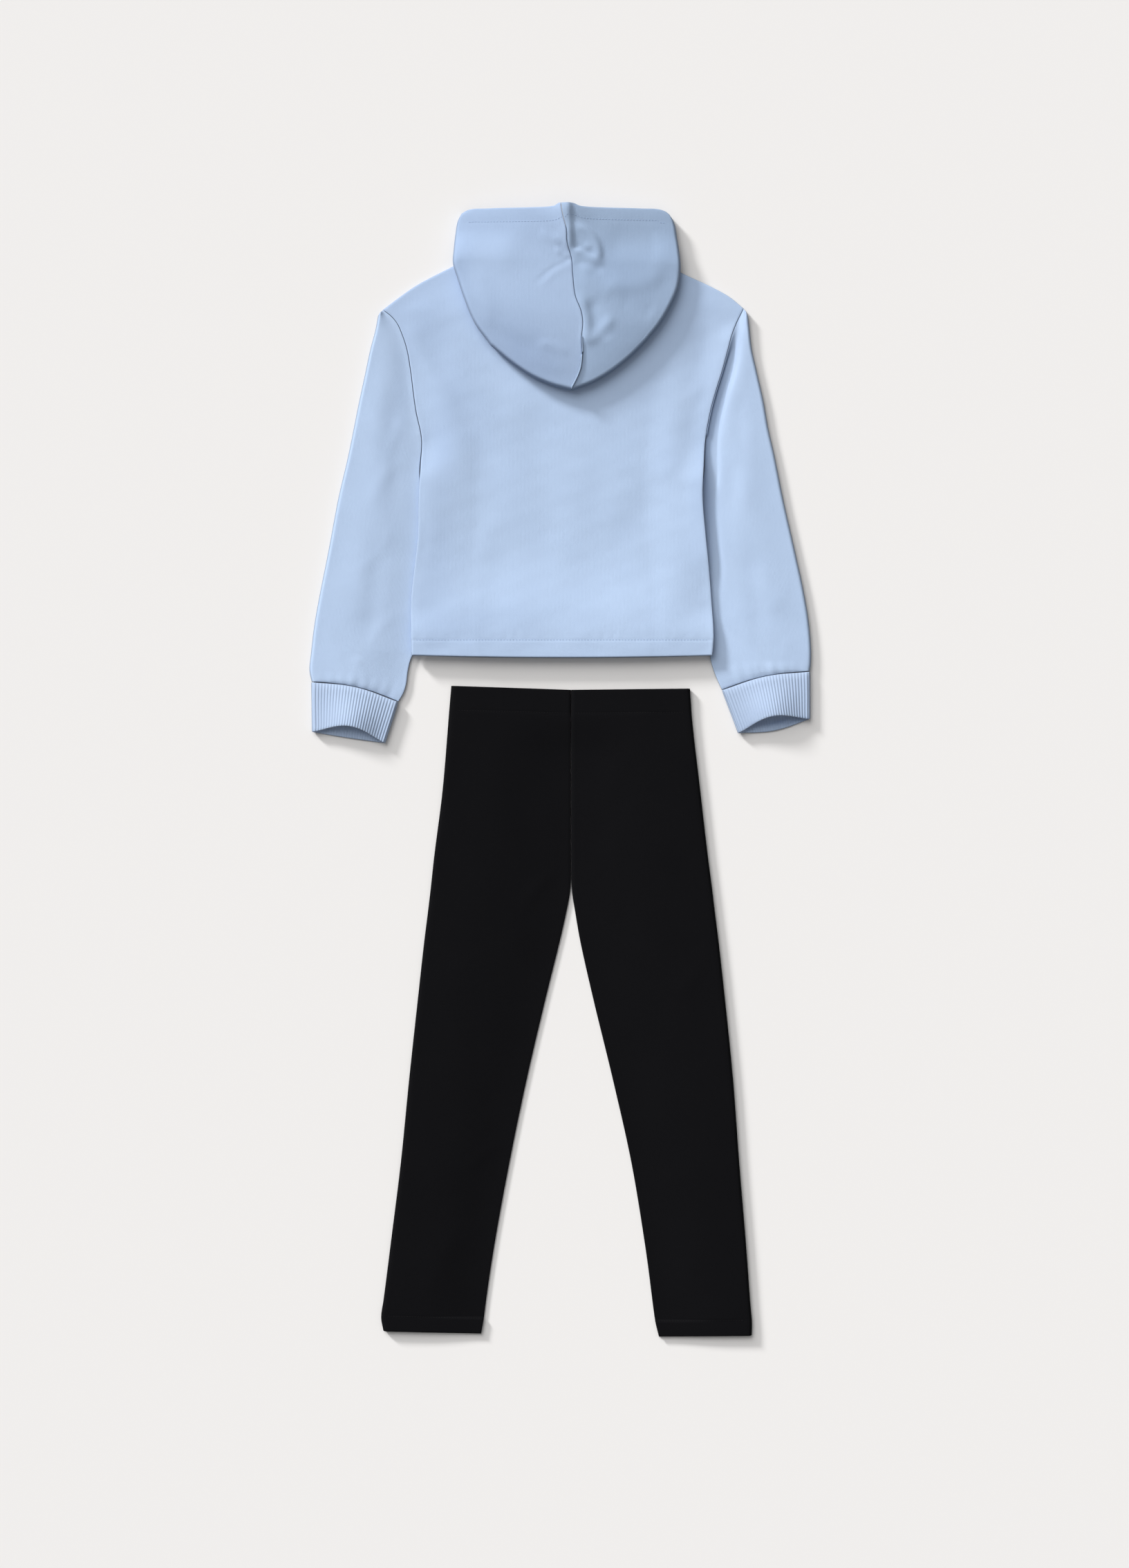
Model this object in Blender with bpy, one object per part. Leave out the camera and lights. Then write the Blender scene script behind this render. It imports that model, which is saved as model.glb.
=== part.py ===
# A child's fleece hoodie and jersey leggings laid out flat on a surface. The hoodie lies face down
# with its hood on its back, and the leggings lie below it. Sizes are in millimetres, z = 0 is the
# surface, +x is to the right and +y is towards the hood. Left and right are as seen from above.

import math

import bpy
import numpy as np

mm = 0.001

# Cloth and seams
fleece = 2.0
rib_wall = 2.4
jersey = 1.2
seam_gap = 0.3

# Hoodie body
hem_y = 128.0
hem_turn = 20.0
underarm_y = 375.0
shoulder_x = (-199.7, 207.0)
shoulder_y = (520.5, 522.0)
neck_x = (-74.0, 89.5)
neck_y = (594.0, 587.0)
neck_middle_x = 8.0
back_neck_y = 566.0
front_neck_y = 522.0
side_lift = 5.6
side_lift_flat = 10.0
side_lift_run = 60.0
body_loft = 2.6
hem_opening = 3.5

# Sleeves and cuffs
sleeve_fold = 3.8
cuff_ribs = 60
cuff_rib_height = 0.5
cuff_fold = 3.8
cuff_seam_height = 9.4
cuff_mouth_height = 16.5

# Hood
hood_fold = 7.0
hood_rim_fold = 6.0
hood_corner_run = 14.0
hood_rest_gap = 0.6
hood_dome = 8.0
hood_rim_rise = 6.0
hood_shoulder_clearance = 3.0
hood_neck_share = 0.62
hood_low_rim_y = 616.0

# Leggings
waist_y = 95.0
rise_x = 12.5
casing_depth = 27.0
casing_wall = 2.9
ankle_hem_y = -614.5
ankle_width = 110.0
leg_fold = 2.6
leg_rise = 1.6

# The body's side edges: a row for each height, from the hem to the shoulder points
body_sides = {
    "y": (128, 150, 192, 231, 267, 310, 345, 375, 406, 430, 449, 477, 492, 506, 514, 520.5),
    "left": (-167, -167.3, -167.7, -163.8, -159.9, -159.1, -157, -155.8, -162, -165.4, -167.7,
             -172.6, -177.5, -184, -191, -199.7),
    "right": (171.6, 173, 170.8, 167.7, 164, 160.7, 162, 164, 169.5, 176, 182, 189.6, 193.6, 199,
              203, 207),
}

# The shoulder line in front of the neck: a row for each place from the shoulder point to the neck
shoulder_line = {
    "way": (0.0, 0.17, 0.34, 0.62, 1.0),
    "left x": (-199.7, -179.4, -159.9, -120.9, -74.0),
    "left y": (520.5, 535.9, 549.1, 569.4, 594.0),
    "right x": (207.0, 191.1, 171.6, 138.1, 89.5),
    "right y": (522.0, 535.1, 546.0, 561.6, 587.0),
}

# The sleeves' folded outer edges, how far their inner edges lie beneath the body below the underarm
# (outside it where negative), and their inner edges below the hem
sleeve_outer = {
    "y": (514, 498, 477, 449, 418, 387, 356, 309, 247, 200, 165, 132, 114, 101),
    "left": (-205, -208, -213.5, -219.5, -226.2, -232.4, -238.7, -249.6, -261.3, -270.7, -276.9,
             -280.8, -282.4, -280),
    "right": (212, 213.7, 216.1, 222.3, 229.3, 234.8, 241.8, 251.2, 265.2, 275.3, 280.8, 283.1,
              282.8, 281.6),
}
sleeve_tuck = {
    "y": (375, 356, 335, 305, 265, 225, 190, 160, 135),
    "in": (-0.3, -0.5, -0.6, 4.5, 7.0, 7.0, 6.5, 5.0, 3.0),
}
sleeve_inner = {
    "y": (135, 114, 98, 79),
    "left": (-164.1, -169.5, -175.5, -182),
    "right": (169.5, 174.5, 179.5, 184),
}

# Where each sleeve's sections run, from the shoulder to the cuff: the height of the inner end, of the
# outer end, and how far the section rises in its middle
sleeve_sections = {
    "inner y": (520.5, 514, 506, 492, 477, 449, 430, 406, 375, 356, 335, 305, 265, 225, 190, 160, 135,
                112),
    "outer y": (514, 506, 497, 484, 470, 446, 427, 403, 373, 354, 334, 304, 264, 225, 191, 162, 138,
                119),
    "rise": (0, 0.2, 0.5, 1.2, 1.9, 2.8, 3.3, 3.7, 3.8, 3.8, 3.8, 3.8, 3.6, 3.5, 3.4, 3.2, 2.9, 2.3),
}

# The cuffs' ends in plan: the sleeve seam and the open mouth, each with how far its middle bows back
cuffs = {
    "side": (-1, 1),
    "seam outer": ((-280.0, 101.2), (281.6, 113.0)),
    "seam inner": ((-182.2, 78.9), (182.6, 92.2)),
    "seam bow": (5.5, 5.0),
    "mouth outer": ((-279.2, 44.5), (281.6, 59.0)),
    "mouth inner": ((-199.0, 31.5), (203.8, 43.7)),
    "upper bow": (12.5, 10.5),
    "lower bow": (-0.5, -0.5),
}

# The hood's outline, from the end of its rim down to its tip: a row for each point
hood_outline = {
    "left x": (-110.5, -115, -117.8, -119.6, -120.5, -115.4, -107.6, -95.9, -78, -54.6, -31.2, -7.8, 13),
    "left y": (628.5, 620.5, 605.3, 588, 572, 554.6, 531.2, 503.9, 478.9, 459.4, 443.8, 433.7, 428.2),
    "right x": (122.5, 128.2, 132, 134.6, 135.7, 133, 126.4, 113.1, 97.5, 78, 54.6, 35.1, 13),
    "right y": (628, 619.5, 600, 582, 567, 544, 527.3, 503.9, 484.4, 464.9, 446.9, 436, 428.2),
}
hood_at_shoulder = 4
hood_corner = 8
hood_rim_line = {
    "way": (0, 0.12, 0.3, 0.75, 0.93, 1),
    "y": (638, 634.5, 633.5, 633, 632, 628.5),
}
hood_seam = {
    "y": (638, 625, 609, 594, 576, 558, 533, 516, 504, 484, 472, 453, 444, 430),
    "x": (1, 3, 7, 8, 13, 14.5, 17.5, 24, 25.7, 24.2, 25, 23.4, 20.3, 13.3),
}

# Leg edges: a row for each height from the waist to the ankle
legs = {
    "y": (95, 59, -23, -97, -133, -159, -190, -253, -346, -440, -534, -596, -617, -632),
    "left outer": (-122.5, -125.6, -132.6, -142, -145.9, -149, -152.9, -159.9, -170, -179.4, -191.1,
                   -198.9, -201.6, -199),
    "left inner": (12.35, 12.35, 12.35, 12.35, 11.7, 7, 0, -15.6, -37.4, -56.9, -74.1, -83.5, -86.3,
                   -88.9),
    "right inner": (12.65, 12.65, 12.65, 12.65, 13.3, 17.2, 22.6, 36.7, 59.3, 80.3, 95.9, 104.5,
                    107.8, 111.5),
    "right outer": (146.6, 149, 158.3, 166.9, 171.6, 174.7, 178.6, 185.6, 195, 202, 209.8, 214.5,
                    216.4, 216.1),
}
leg_levels = (95, 80, 69, 67, 40, 0, -50, -100, -133, -160, -200, -250, -320, -400, -480, -550, -608,
              -613.5, -615.5, -624, -632)
leg_end_slope = (-0.0245, -0.01)
leg_end_drop = (0.5, 5.0)

# Largest folds: a ridge or a trough along a straight stretch, its half width and its height
back_folds = {
    "from": ((-150, 480), (118, 330), (-118, 300), (20, 330)),
    "to": ((-78, 348), (60, 250), (-150, 215), (-14, 190)),
    "width": (17, 20, 15, 22),
    "height": (-1.3, -0.9, -0.8, 0.8),
}
sleeve_folds = {
    "from": ((-190, 420), (-206, 250), (205, 430), (214, 240), (232, 130), (-230, 128)),
    "to": ((-186, 290), (-215, 150), (192, 300), (226, 160), (224, 108), (-222, 104)),
    "width": (13, 13, 12, 13, 6, 7),
    "height": (-0.9, -0.9, -0.9, -0.9, -1.0, 0.8),
}
hood_folds = {
    "from": ((20, 634), (38, 606), (44, 580), (-34, 572), (36, 520), (-40, 625), (70, 560), (-60, 530)),
    "to": ((38, 606), (44, 580), (24, 556), (10, 562), (38, 476), (-62, 560), (96, 520), (-20, 480)),
    "width": (9, 9, 9, 8, 11, 16, 16, 18),
    "height": (3.0, 3.2, 2.6, -1.6, 2.2, 1.2, 1.4, 1.0),
}
leg_folds = {
    "from": ((-60, 20), (90, 10), (-100, -300), (110, -260), (-120, -520)),
    "to": ((-20, -90), (40, -80), (-70, -380), (140, -350), (-150, -590)),
    "width": (15, 15, 14, 14, 14),
    "height": (-0.4, -0.4, -0.4, -0.4, 0.4),
}


def smooth(value):
    value = np.clip(value, 0.0, 1.0)
    return value * value * (3.0 - 2.0 * value)


def through(knots, values, at):
    # Reads a smooth line through the values at the knots, its slope at a knot the mean of its sides
    knots = np.asarray(knots, float)
    values = np.asarray(values, float)
    if knots[0] > knots[-1]:
        knots = knots[::-1]
        values = values[::-1]
    at = np.clip(np.asarray(at, float), knots[0], knots[-1])
    span = np.diff(knots)
    slope = np.diff(values) / span
    tangent = np.empty_like(values)
    tangent[0] = slope[0]
    tangent[-1] = slope[-1]
    tangent[1:-1] = (slope[:-1] + slope[1:]) / 2
    k = np.clip(np.searchsorted(knots, at, side="right") - 1, 0, len(span) - 1)
    t = (at - knots[k]) / span[k]
    rise = (2 * t**3 - 3 * t**2 + 1) * values[k] + (3 * t**2 - 2 * t**3) * values[k + 1]
    return rise + span[k] * ((t**3 - 2 * t**2 + t) * tangent[k] + (t**3 - t**2) * tangent[k + 1])


def along(xs, ys, ways):
    # Points at fractions of the length of the smooth line through (xs, ys)
    length = np.concatenate([[0.0], np.cumsum(np.hypot(np.diff(xs), np.diff(ys)))])
    way = np.asarray(ways) * length[-1]
    return np.stack([through(length, xs, way), through(length, ys, way)], axis=1)


def left_normals(line):
    # Unit vectors in plan at right angles to a line of points, to the left of its run
    run = np.gradient(line[:, :2], axis=0)
    run = run / np.linalg.norm(run, axis=1, keepdims=True)
    return np.stack([-run[:, 1], run[:, 0]], axis=1)


def patch(start, end, first, last, across, down, fade=1.0):
    # Rows run from start to end and columns from first to last. The two sides' bends die away inwards,
    # the faster the larger fade is; at 1 this is a Coons patch.
    u = across[None, :, None]
    v = down[:, None, None]
    ruled = (1 - v) * start[None] + v * end[None]
    first_bend = first[:, None] - ruled[:, :1]
    last_bend = last[:, None] - ruled[:, -1:]
    return ruled + (1 - u) ** fade * first_bend + u**fade * last_bend


def fold_height(x, y, folds):
    # Each fold is a bell across its straight line that dies away over its last quarter
    total = np.zeros_like(x)
    for (ax, ay), (bx, by), width, height in zip(*folds.values()):
        length = math.hypot(bx - ax, by - ay)
        dx = (bx - ax) / length
        dy = (by - ay) / length
        way = ((x - ax) * dx + (y - ay) * dy) / length
        off = (x - ax) * dy - (y - ay) * dx
        ends = smooth((way + 0.25) / 0.5) * smooth((1.25 - way) / 0.5)
        total = total + height * np.exp(-((off / width) ** 2)) * ends
    return total


def net_quads(index, turn=False):
    # Quads of a net of point numbers; turn faces them the other way
    quads = np.stack([index[:-1, :-1], index[:-1, 1:], index[1:, 1:], index[1:, :-1]], axis=-1)
    quads = quads.reshape(-1, 4)
    if turn:
        quads = quads[:, [0, 3, 2, 1]]
    return quads


def grid_quads(rows, columns, turn=False):
    # Quads of a rows by columns net whose points are numbered row by row
    return net_quads(np.arange(rows * columns).reshape(rows, columns), turn)


def wall(name, points, quads, thickness, look, cuts=()):
    # A cloth wall: its outer face passes through the points, its inner face lies one thickness behind
    # them, and a rim closes each free edge. Along a free edge the wall is cut square in plan. Each cut
    # is a point's number and a direction in plan, and there the wall is cut square to that as well.
    count = len(points)
    thickness = np.broadcast_to(thickness, (count,))
    diagonal_a = points[quads[:, 2]] - points[quads[:, 0]]
    diagonal_b = points[quads[:, 3]] - points[quads[:, 1]]
    face_normals = np.cross(diagonal_a, diagonal_b)
    face_normals /= np.linalg.norm(face_normals, axis=1, keepdims=True)
    normals = np.zeros((count, 3))
    for corner in range(4):
        np.add.at(normals, quads[:, corner], face_normals)
    sides = np.concatenate([quads[:, [k, (k + 1) % 4]] for k in range(4)])
    known = {(a, b) for a, b in sides.tolist()}
    rim = np.array([(a, b) for a, b in sides.tolist() if (b, a) not in known])
    run = np.zeros((count, 3))
    if len(rim):
        step = points[rim[:, 1]] - points[rim[:, 0]]
        step /= np.linalg.norm(step, axis=1, keepdims=True)
        np.add.at(run, rim[:, 0], step)
        np.add.at(run, rim[:, 1], step)
    across = np.cross(run, normals)
    across[:, 2] = 0.0
    size = np.linalg.norm(across, axis=1, keepdims=True)
    across = np.divide(across, size, out=np.zeros_like(across), where=size > 1e-6)
    normals -= (normals * across).sum(axis=1, keepdims=True) * across
    for k, direction in cuts:
        plane = np.append(direction, 0.0)
        normals[k] -= normals[k].dot(plane) * plane
    normals /= np.linalg.norm(normals, axis=1, keepdims=True)
    inner = points - normals * thickness[:, None]
    a, b, c, d = quads.T
    faces = [(a, b, c), (a, c, d), (c + count, b + count, a + count), (d + count, c + count, a + count)]
    if len(rim):
        a, b = rim.T
        faces += [(b, a, a + count), (b, a + count, b + count)]
    triangles = np.concatenate([np.stack(face, axis=1) for face in faces])
    mesh = bpy.data.meshes.new(name)
    mesh.from_pydata((np.concatenate([points, inner]) * mm).tolist(), [], triangles.tolist())
    mesh.validate()
    mesh.shade_smooth()
    mesh.set_sharp_from_angle(angle=math.radians(40))
    mesh.materials.append(look)
    piece = bpy.data.objects.new(name, mesh)
    bpy.context.scene.collection.objects.link(piece)
    return piece


def cloth_look(name, colour, roughness):
    look = bpy.data.materials.new(name)
    look.use_nodes = True
    shader = look.node_tree.nodes["Principled BSDF"]
    shader.inputs["Base Color"].default_value = (*colour, 1.0)
    shader.inputs["Roughness"].default_value = roughness
    shader.inputs["Metallic"].default_value = 0.0
    return look


def side_key(side):
    return "left" if side < 0 else "right"


def shoulder_points(side, ways):
    key = side_key(side)
    x = through(shoulder_line["way"], shoulder_line[key + " x"], ways)
    y = through(shoulder_line["way"], shoulder_line[key + " y"], ways)
    return np.stack([x, y], axis=1)


def neck_points(side, ways, middle_y, power):
    # One half of a neckline, from the shoulder's neck point (way 1) to the middle (way 0)
    k = 0 if side < 0 else 1
    ways = np.asarray(ways)
    x = neck_middle_x + (neck_x[k] - neck_middle_x) * ways
    y = middle_y + (neck_y[k] - middle_y) * ways**power
    return np.stack([x, y], axis=1)


def top_line_height(x):
    # y of the shoulders and the back neckline over each x
    ways = np.linspace(0, 1, 21)
    left = shoulder_points(-1, ways)
    right = shoulder_points(1, ways)
    neck = np.concatenate([neck_points(-1, ways[::-1], back_neck_y, 2.2)[1:],
                           neck_points(1, ways, back_neck_y, 2.2)[1:-1]])
    line = np.concatenate([left, neck, right[::-1]])
    return np.interp(x, line[:, 0], line[:, 1])


def body_lift(x, y):
    # The body's side edges rise over the sleeves tucked beneath them
    left = through(body_sides["y"], body_sides["left"], y)
    right = through(body_sides["y"], body_sides["right"], y)
    side = np.minimum(x - left, right - x)
    out = 1.0 - smooth((side - side_lift_flat) / side_lift_run)
    return side_lift * out * smooth((underarm_y - y) / 40.0)


def panel_wall(y):
    # Two thicknesses at the turned hem, one above it
    return fleece * (1.0 + smooth((hem_y + hem_turn + 1.5 - y) / 1.5))


def back_height(x, y):
    # Height of the back panel's outer face. It climbs to the doubled hem, over a short run at the side
    # seams and a longer one between them, and the hem stands a little open in its middle.
    left = through(body_sides["y"], body_sides["left"], y)
    right = through(body_sides["y"], body_sides["right"], y)
    side = np.minimum(x - left, right - x)
    inside = smooth(side / 60.0) * smooth((top_line_height(x) - y) / 60.0)
    above_hem = 0.35 + 0.65 * smooth((y - hem_y) / 60.0)
    loft = body_loft * inside * above_hem + fold_height(x, y, back_folds) * inside
    short_climb = smooth((hem_y + 60.0 - y) / 40.0)
    long_climb = smooth((hem_y + 130.0 - y) / 115.0)
    climb = short_climb + (long_climb - short_climb) * smooth((side - 12.0) / 45.0)
    layers = 2 * fleece * (1.0 + np.maximum(climb, panel_wall(y) / fleece - 1.0))
    opening = hem_opening * smooth((side - 8.0) / 70.0) * smooth((hem_y + 110.0 - y) / 110.0)
    return body_lift(x, y) + layers + seam_gap + np.maximum(loft, 0.0) + opening


side_columns = np.array([0, 0.03, 0.0515, 0.0727, 0.094, 0.115, 0.17, 0.24])
neck_ways = np.linspace(1, 0, 6)
neck_start = 0.31


def body_net(middle_y, power):
    # Plan points of a body panel, from the hem to the shoulders and neckline
    neck_columns = neck_start + (0.5 - neck_start) * (1 - neck_ways)
    half = np.concatenate([side_columns, neck_columns])
    across = np.concatenate([half, 1 - half[-2::-1]])
    shoulder_ways = side_columns / neck_start
    top = np.concatenate([
        shoulder_points(-1, shoulder_ways),
        neck_points(-1, neck_ways, middle_y, power),
        neck_points(1, neck_ways[-2::-1], middle_y, power),
        shoulder_points(1, shoulder_ways[::-1]),
    ])
    low = np.array([hem_y, hem_y + hem_turn, hem_y + hem_turn + 1.5, 176, 208, 240, 272, 305, 335, 356])
    edges = []
    for key in ("left", "right"):
        edges.append(np.stack([through(body_sides["y"], body_sides[key], low), low], axis=1))
    low_rows = edges[0][:, None] + (edges[1] - edges[0])[:, None] * across[None, :, None]
    bow = (low_rows[:1, :, 0] - 5.0) / 170.0
    low_rows[0, :, 1] += 2.5 * bow[0] ** 2
    first = armhole(-1)
    last = armhole(1)
    down = (first[:, 1] - first[0, 1]) / (first[-1, 1] - first[0, 1])
    start = first[0] + (last[0] - first[0]) * across[:, None]
    upper = patch(start, top, first, last, across, down, fade=5.0)
    return np.concatenate([low_rows, upper])


def armhole(side):
    # The armhole seam in plan, from the underarm to the shoulder point
    key = side_key(side)
    y = np.array([level for level in body_sides["y"] if level >= underarm_y], float)
    x = through(body_sides["y"], body_sides[key], y)
    line = np.stack([x, y], axis=1)
    line[-1] = (shoulder_x[0 if side < 0 else 1], shoulder_y[0 if side < 0 else 1])
    return line


def body_panel(name, look, back):
    net = body_net(back_neck_y, 2.2) if back else body_net(front_neck_y, 3.0)
    rows, columns = net.shape[:2]
    x = net[..., 0]
    y = net[..., 1]
    z = back_height(x, y) if back else body_lift(x, y)
    points = np.stack([x, y, z], axis=-1).reshape(-1, 3)
    quads = grid_quads(rows, columns, turn=not back)
    wall(name, points, quads, panel_wall(y).reshape(-1), look)


def folded_section(width, fold, inner_height, rise, upper, arc, lower):
    # A sheet folded along its outer edge, seen end on: the upper layer from the inner edge to the fold,
    # the fold as a half circle, and the lower layer back to the inner edge. Returns u and z, u from 0 at
    # the outer edge to width.
    g = np.linspace(1, 0, upper)
    top = 2 * fold + (inner_height - 2 * fold) * smooth(g) + rise * np.sin(math.pi * g) ** 2
    turn = np.linspace(0, math.pi, arc + 2)[1:-1]
    low = np.linspace(0, 1, lower)
    u = np.concatenate([fold + (width - fold) * g, fold - fold * np.sin(turn), fold + (width - fold) * low])
    z = np.concatenate([top, fold + fold * np.cos(turn), np.zeros(lower)])
    return u, z


def sleeve(side, look):
    key = side_key(side)
    inner = armhole(side)[::-1].copy()
    inner += left_normals(inner) * seam_gap * side
    inner_y = np.array(sleeve_sections["inner y"], float)
    outer_y = np.array(sleeve_sections["outer y"], float)
    lower_y = inner_y[len(inner):]
    tucked = through(body_sides["y"], body_sides[key], lower_y)
    tucked = tucked - side * through(sleeve_tuck["y"], sleeve_tuck["in"], lower_y)
    free = through(sleeve_inner["y"], sleeve_inner[key], lower_y)
    below = np.stack([np.where(lower_y < hem_y, free, tucked), lower_y], axis=1)
    inner = np.concatenate([inner, below])
    outer = np.stack([through(sleeve_outer["y"], sleeve_outer[key], outer_y), outer_y], axis=1)
    k = 0 if side < 0 else 1
    inner = np.concatenate([inner, [cuffs["seam inner"][k]]])
    outer = np.concatenate([outer, [cuffs["seam outer"][k]]])
    rise = np.append(sleeve_sections["rise"], cuff_seam_height - 2 * sleeve_fold)
    bow = np.zeros(len(inner))
    bow[-3:] = np.array([0.25, 0.6, 1.0]) * cuffs["seam bow"][k]
    rows = []
    for a, b, up, back in zip(outer, inner, rise, bow):
        across = b - a
        width = np.linalg.norm(across)
        across = across / width
        sleeve_way = np.array([-across[1], across[0]]) * -side
        u, z = folded_section(width, sleeve_fold, 2 * fleece + seam_gap, up, 9, 3, 7)
        plan = a + across * u[:, None] + sleeve_way * (back * np.sin(math.pi * u / width))[:, None]
        rows.append(np.column_stack([plan, z]))
    net = np.array(rows)
    way = np.linspace(1, 0, 9)
    inside = np.sin(math.pi * way)[None, :]
    upper = net[:, :9]
    upper[..., 2] += fold_height(upper[..., 0], upper[..., 1], sleeve_folds) * inside
    quads = grid_quads(net.shape[0], net.shape[1], turn=side > 0)
    wall(key + "_sleeve", net.reshape(-1, 3), quads, fleece, look)


def ring_section(width, fold, height, count):
    # A flattened knitted tube seen end on, as count points evenly along it: a flat lower layer, two
    # folds and an upper layer that rises to the height in its middle. Returns u, z and which layer.
    g = np.linspace(1, 0, 41)[:-1]
    straight = width - 2 * fold
    turn = np.linspace(0, math.pi, 13)[:-1]
    top_u = fold + straight * g
    top_z = 2 * fold + (height - 2 * fold) * np.sin(math.pi * g) ** 1.6
    u = np.concatenate([top_u, fold - fold * np.sin(turn), width - top_u,
                        width - fold + fold * np.sin(turn)])
    z = np.concatenate([top_z, fold + fold * np.cos(turn), np.zeros(len(g)), fold - fold * np.cos(turn)])
    upper = np.concatenate([np.ones(len(g)), (1 + np.cos(turn)) / 2, np.zeros(len(g)),
                            (1 - np.cos(turn)) / 2])
    closed = [np.append(line, line[0]) for line in (u, z, upper)]
    length = np.concatenate([[0.0], np.cumsum(np.hypot(np.diff(closed[0]), np.diff(closed[1])))])
    at = np.arange(count) / count * length[-1]
    return [np.interp(at, length, line) for line in closed]


def cuff(k, look):
    side = cuffs["side"][k]
    key = side_key(side)
    count = 2 * cuff_ribs
    seam_outer = np.array(cuffs["seam outer"][k])
    seam_inner = np.array(cuffs["seam inner"][k])
    mouth_outer = np.array(cuffs["mouth outer"][k])
    mouth_inner = np.array(cuffs["mouth inner"][k])
    rows = []
    for way in (0.0, 0.36, 0.72, 1.0):
        a = seam_outer + (mouth_outer - seam_outer) * way
        b = seam_inner + (mouth_inner - seam_inner) * way
        width = np.linalg.norm(b - a)
        across = (b - a) / width
        sleeve_way = np.array([-across[1], across[0]]) * -side
        height = cuff_seam_height + (cuff_mouth_height - cuff_seam_height) * smooth(way)
        u, z, upper = ring_section(width, cuff_fold, height, count)
        z += cuff_rib_height
        run = np.stack([np.roll(u, -1) - np.roll(u, 1), np.roll(z, -1) - np.roll(z, 1)], axis=1)
        run /= np.linalg.norm(run, axis=1, keepdims=True)
        raised = cuff_rib_height * (np.arange(count) % 2)
        u = u + run[:, 1] * raised
        z = z - run[:, 0] * raised
        swing = cuffs["seam bow"][k] * (1 - way)
        swing = swing + way * (cuffs["lower bow"][k] * (1 - upper) + cuffs["upper bow"][k] * upper)
        swing = swing * np.sin(math.pi * np.clip(u / width, 0, 1)) ** 1.3
        plan = a + across * u[:, None] + sleeve_way * swing[:, None]
        plan -= sleeve_way * seam_gap * (1 - way)
        rows.append(np.column_stack([plan, z]))
    net = np.array(rows)
    net = np.concatenate([net, net[:, :1]], axis=1)
    total, columns = net.shape[:2]
    quads = grid_quads(total, columns, turn=side > 0)
    last = quads % columns == columns - 1
    quads = np.where(last, quads - (columns - 1), quads)
    kept = np.arange(total * columns).reshape(total, columns)[:, :-1].reshape(-1)
    order = np.zeros(total * columns, int)
    order[kept] = np.arange(len(kept))
    thickness = np.tile(rib_wall + cuff_rib_height * (np.arange(count) % 2), total)
    wall(key + "_cuff", net.reshape(-1, 3)[kept], order[quads], thickness, look)


hood_neck_ways = np.linspace(0, 1, 6)
hood_out_ways = np.array([0.16, 0.44, 0.72, 1.0])
hood_rim_rows = np.array([0, 0.12, 0.34, 0.62, 0.83, 1.0])
hood_tip_rows = np.array([0.1, 0.22, 0.34, 0.46, 0.58, 0.69, 0.8, 0.9, 1.0])


def hood_seam_line(ys):
    return np.stack([through(hood_seam["y"], hood_seam["x"], ys), ys], axis=1)


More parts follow.
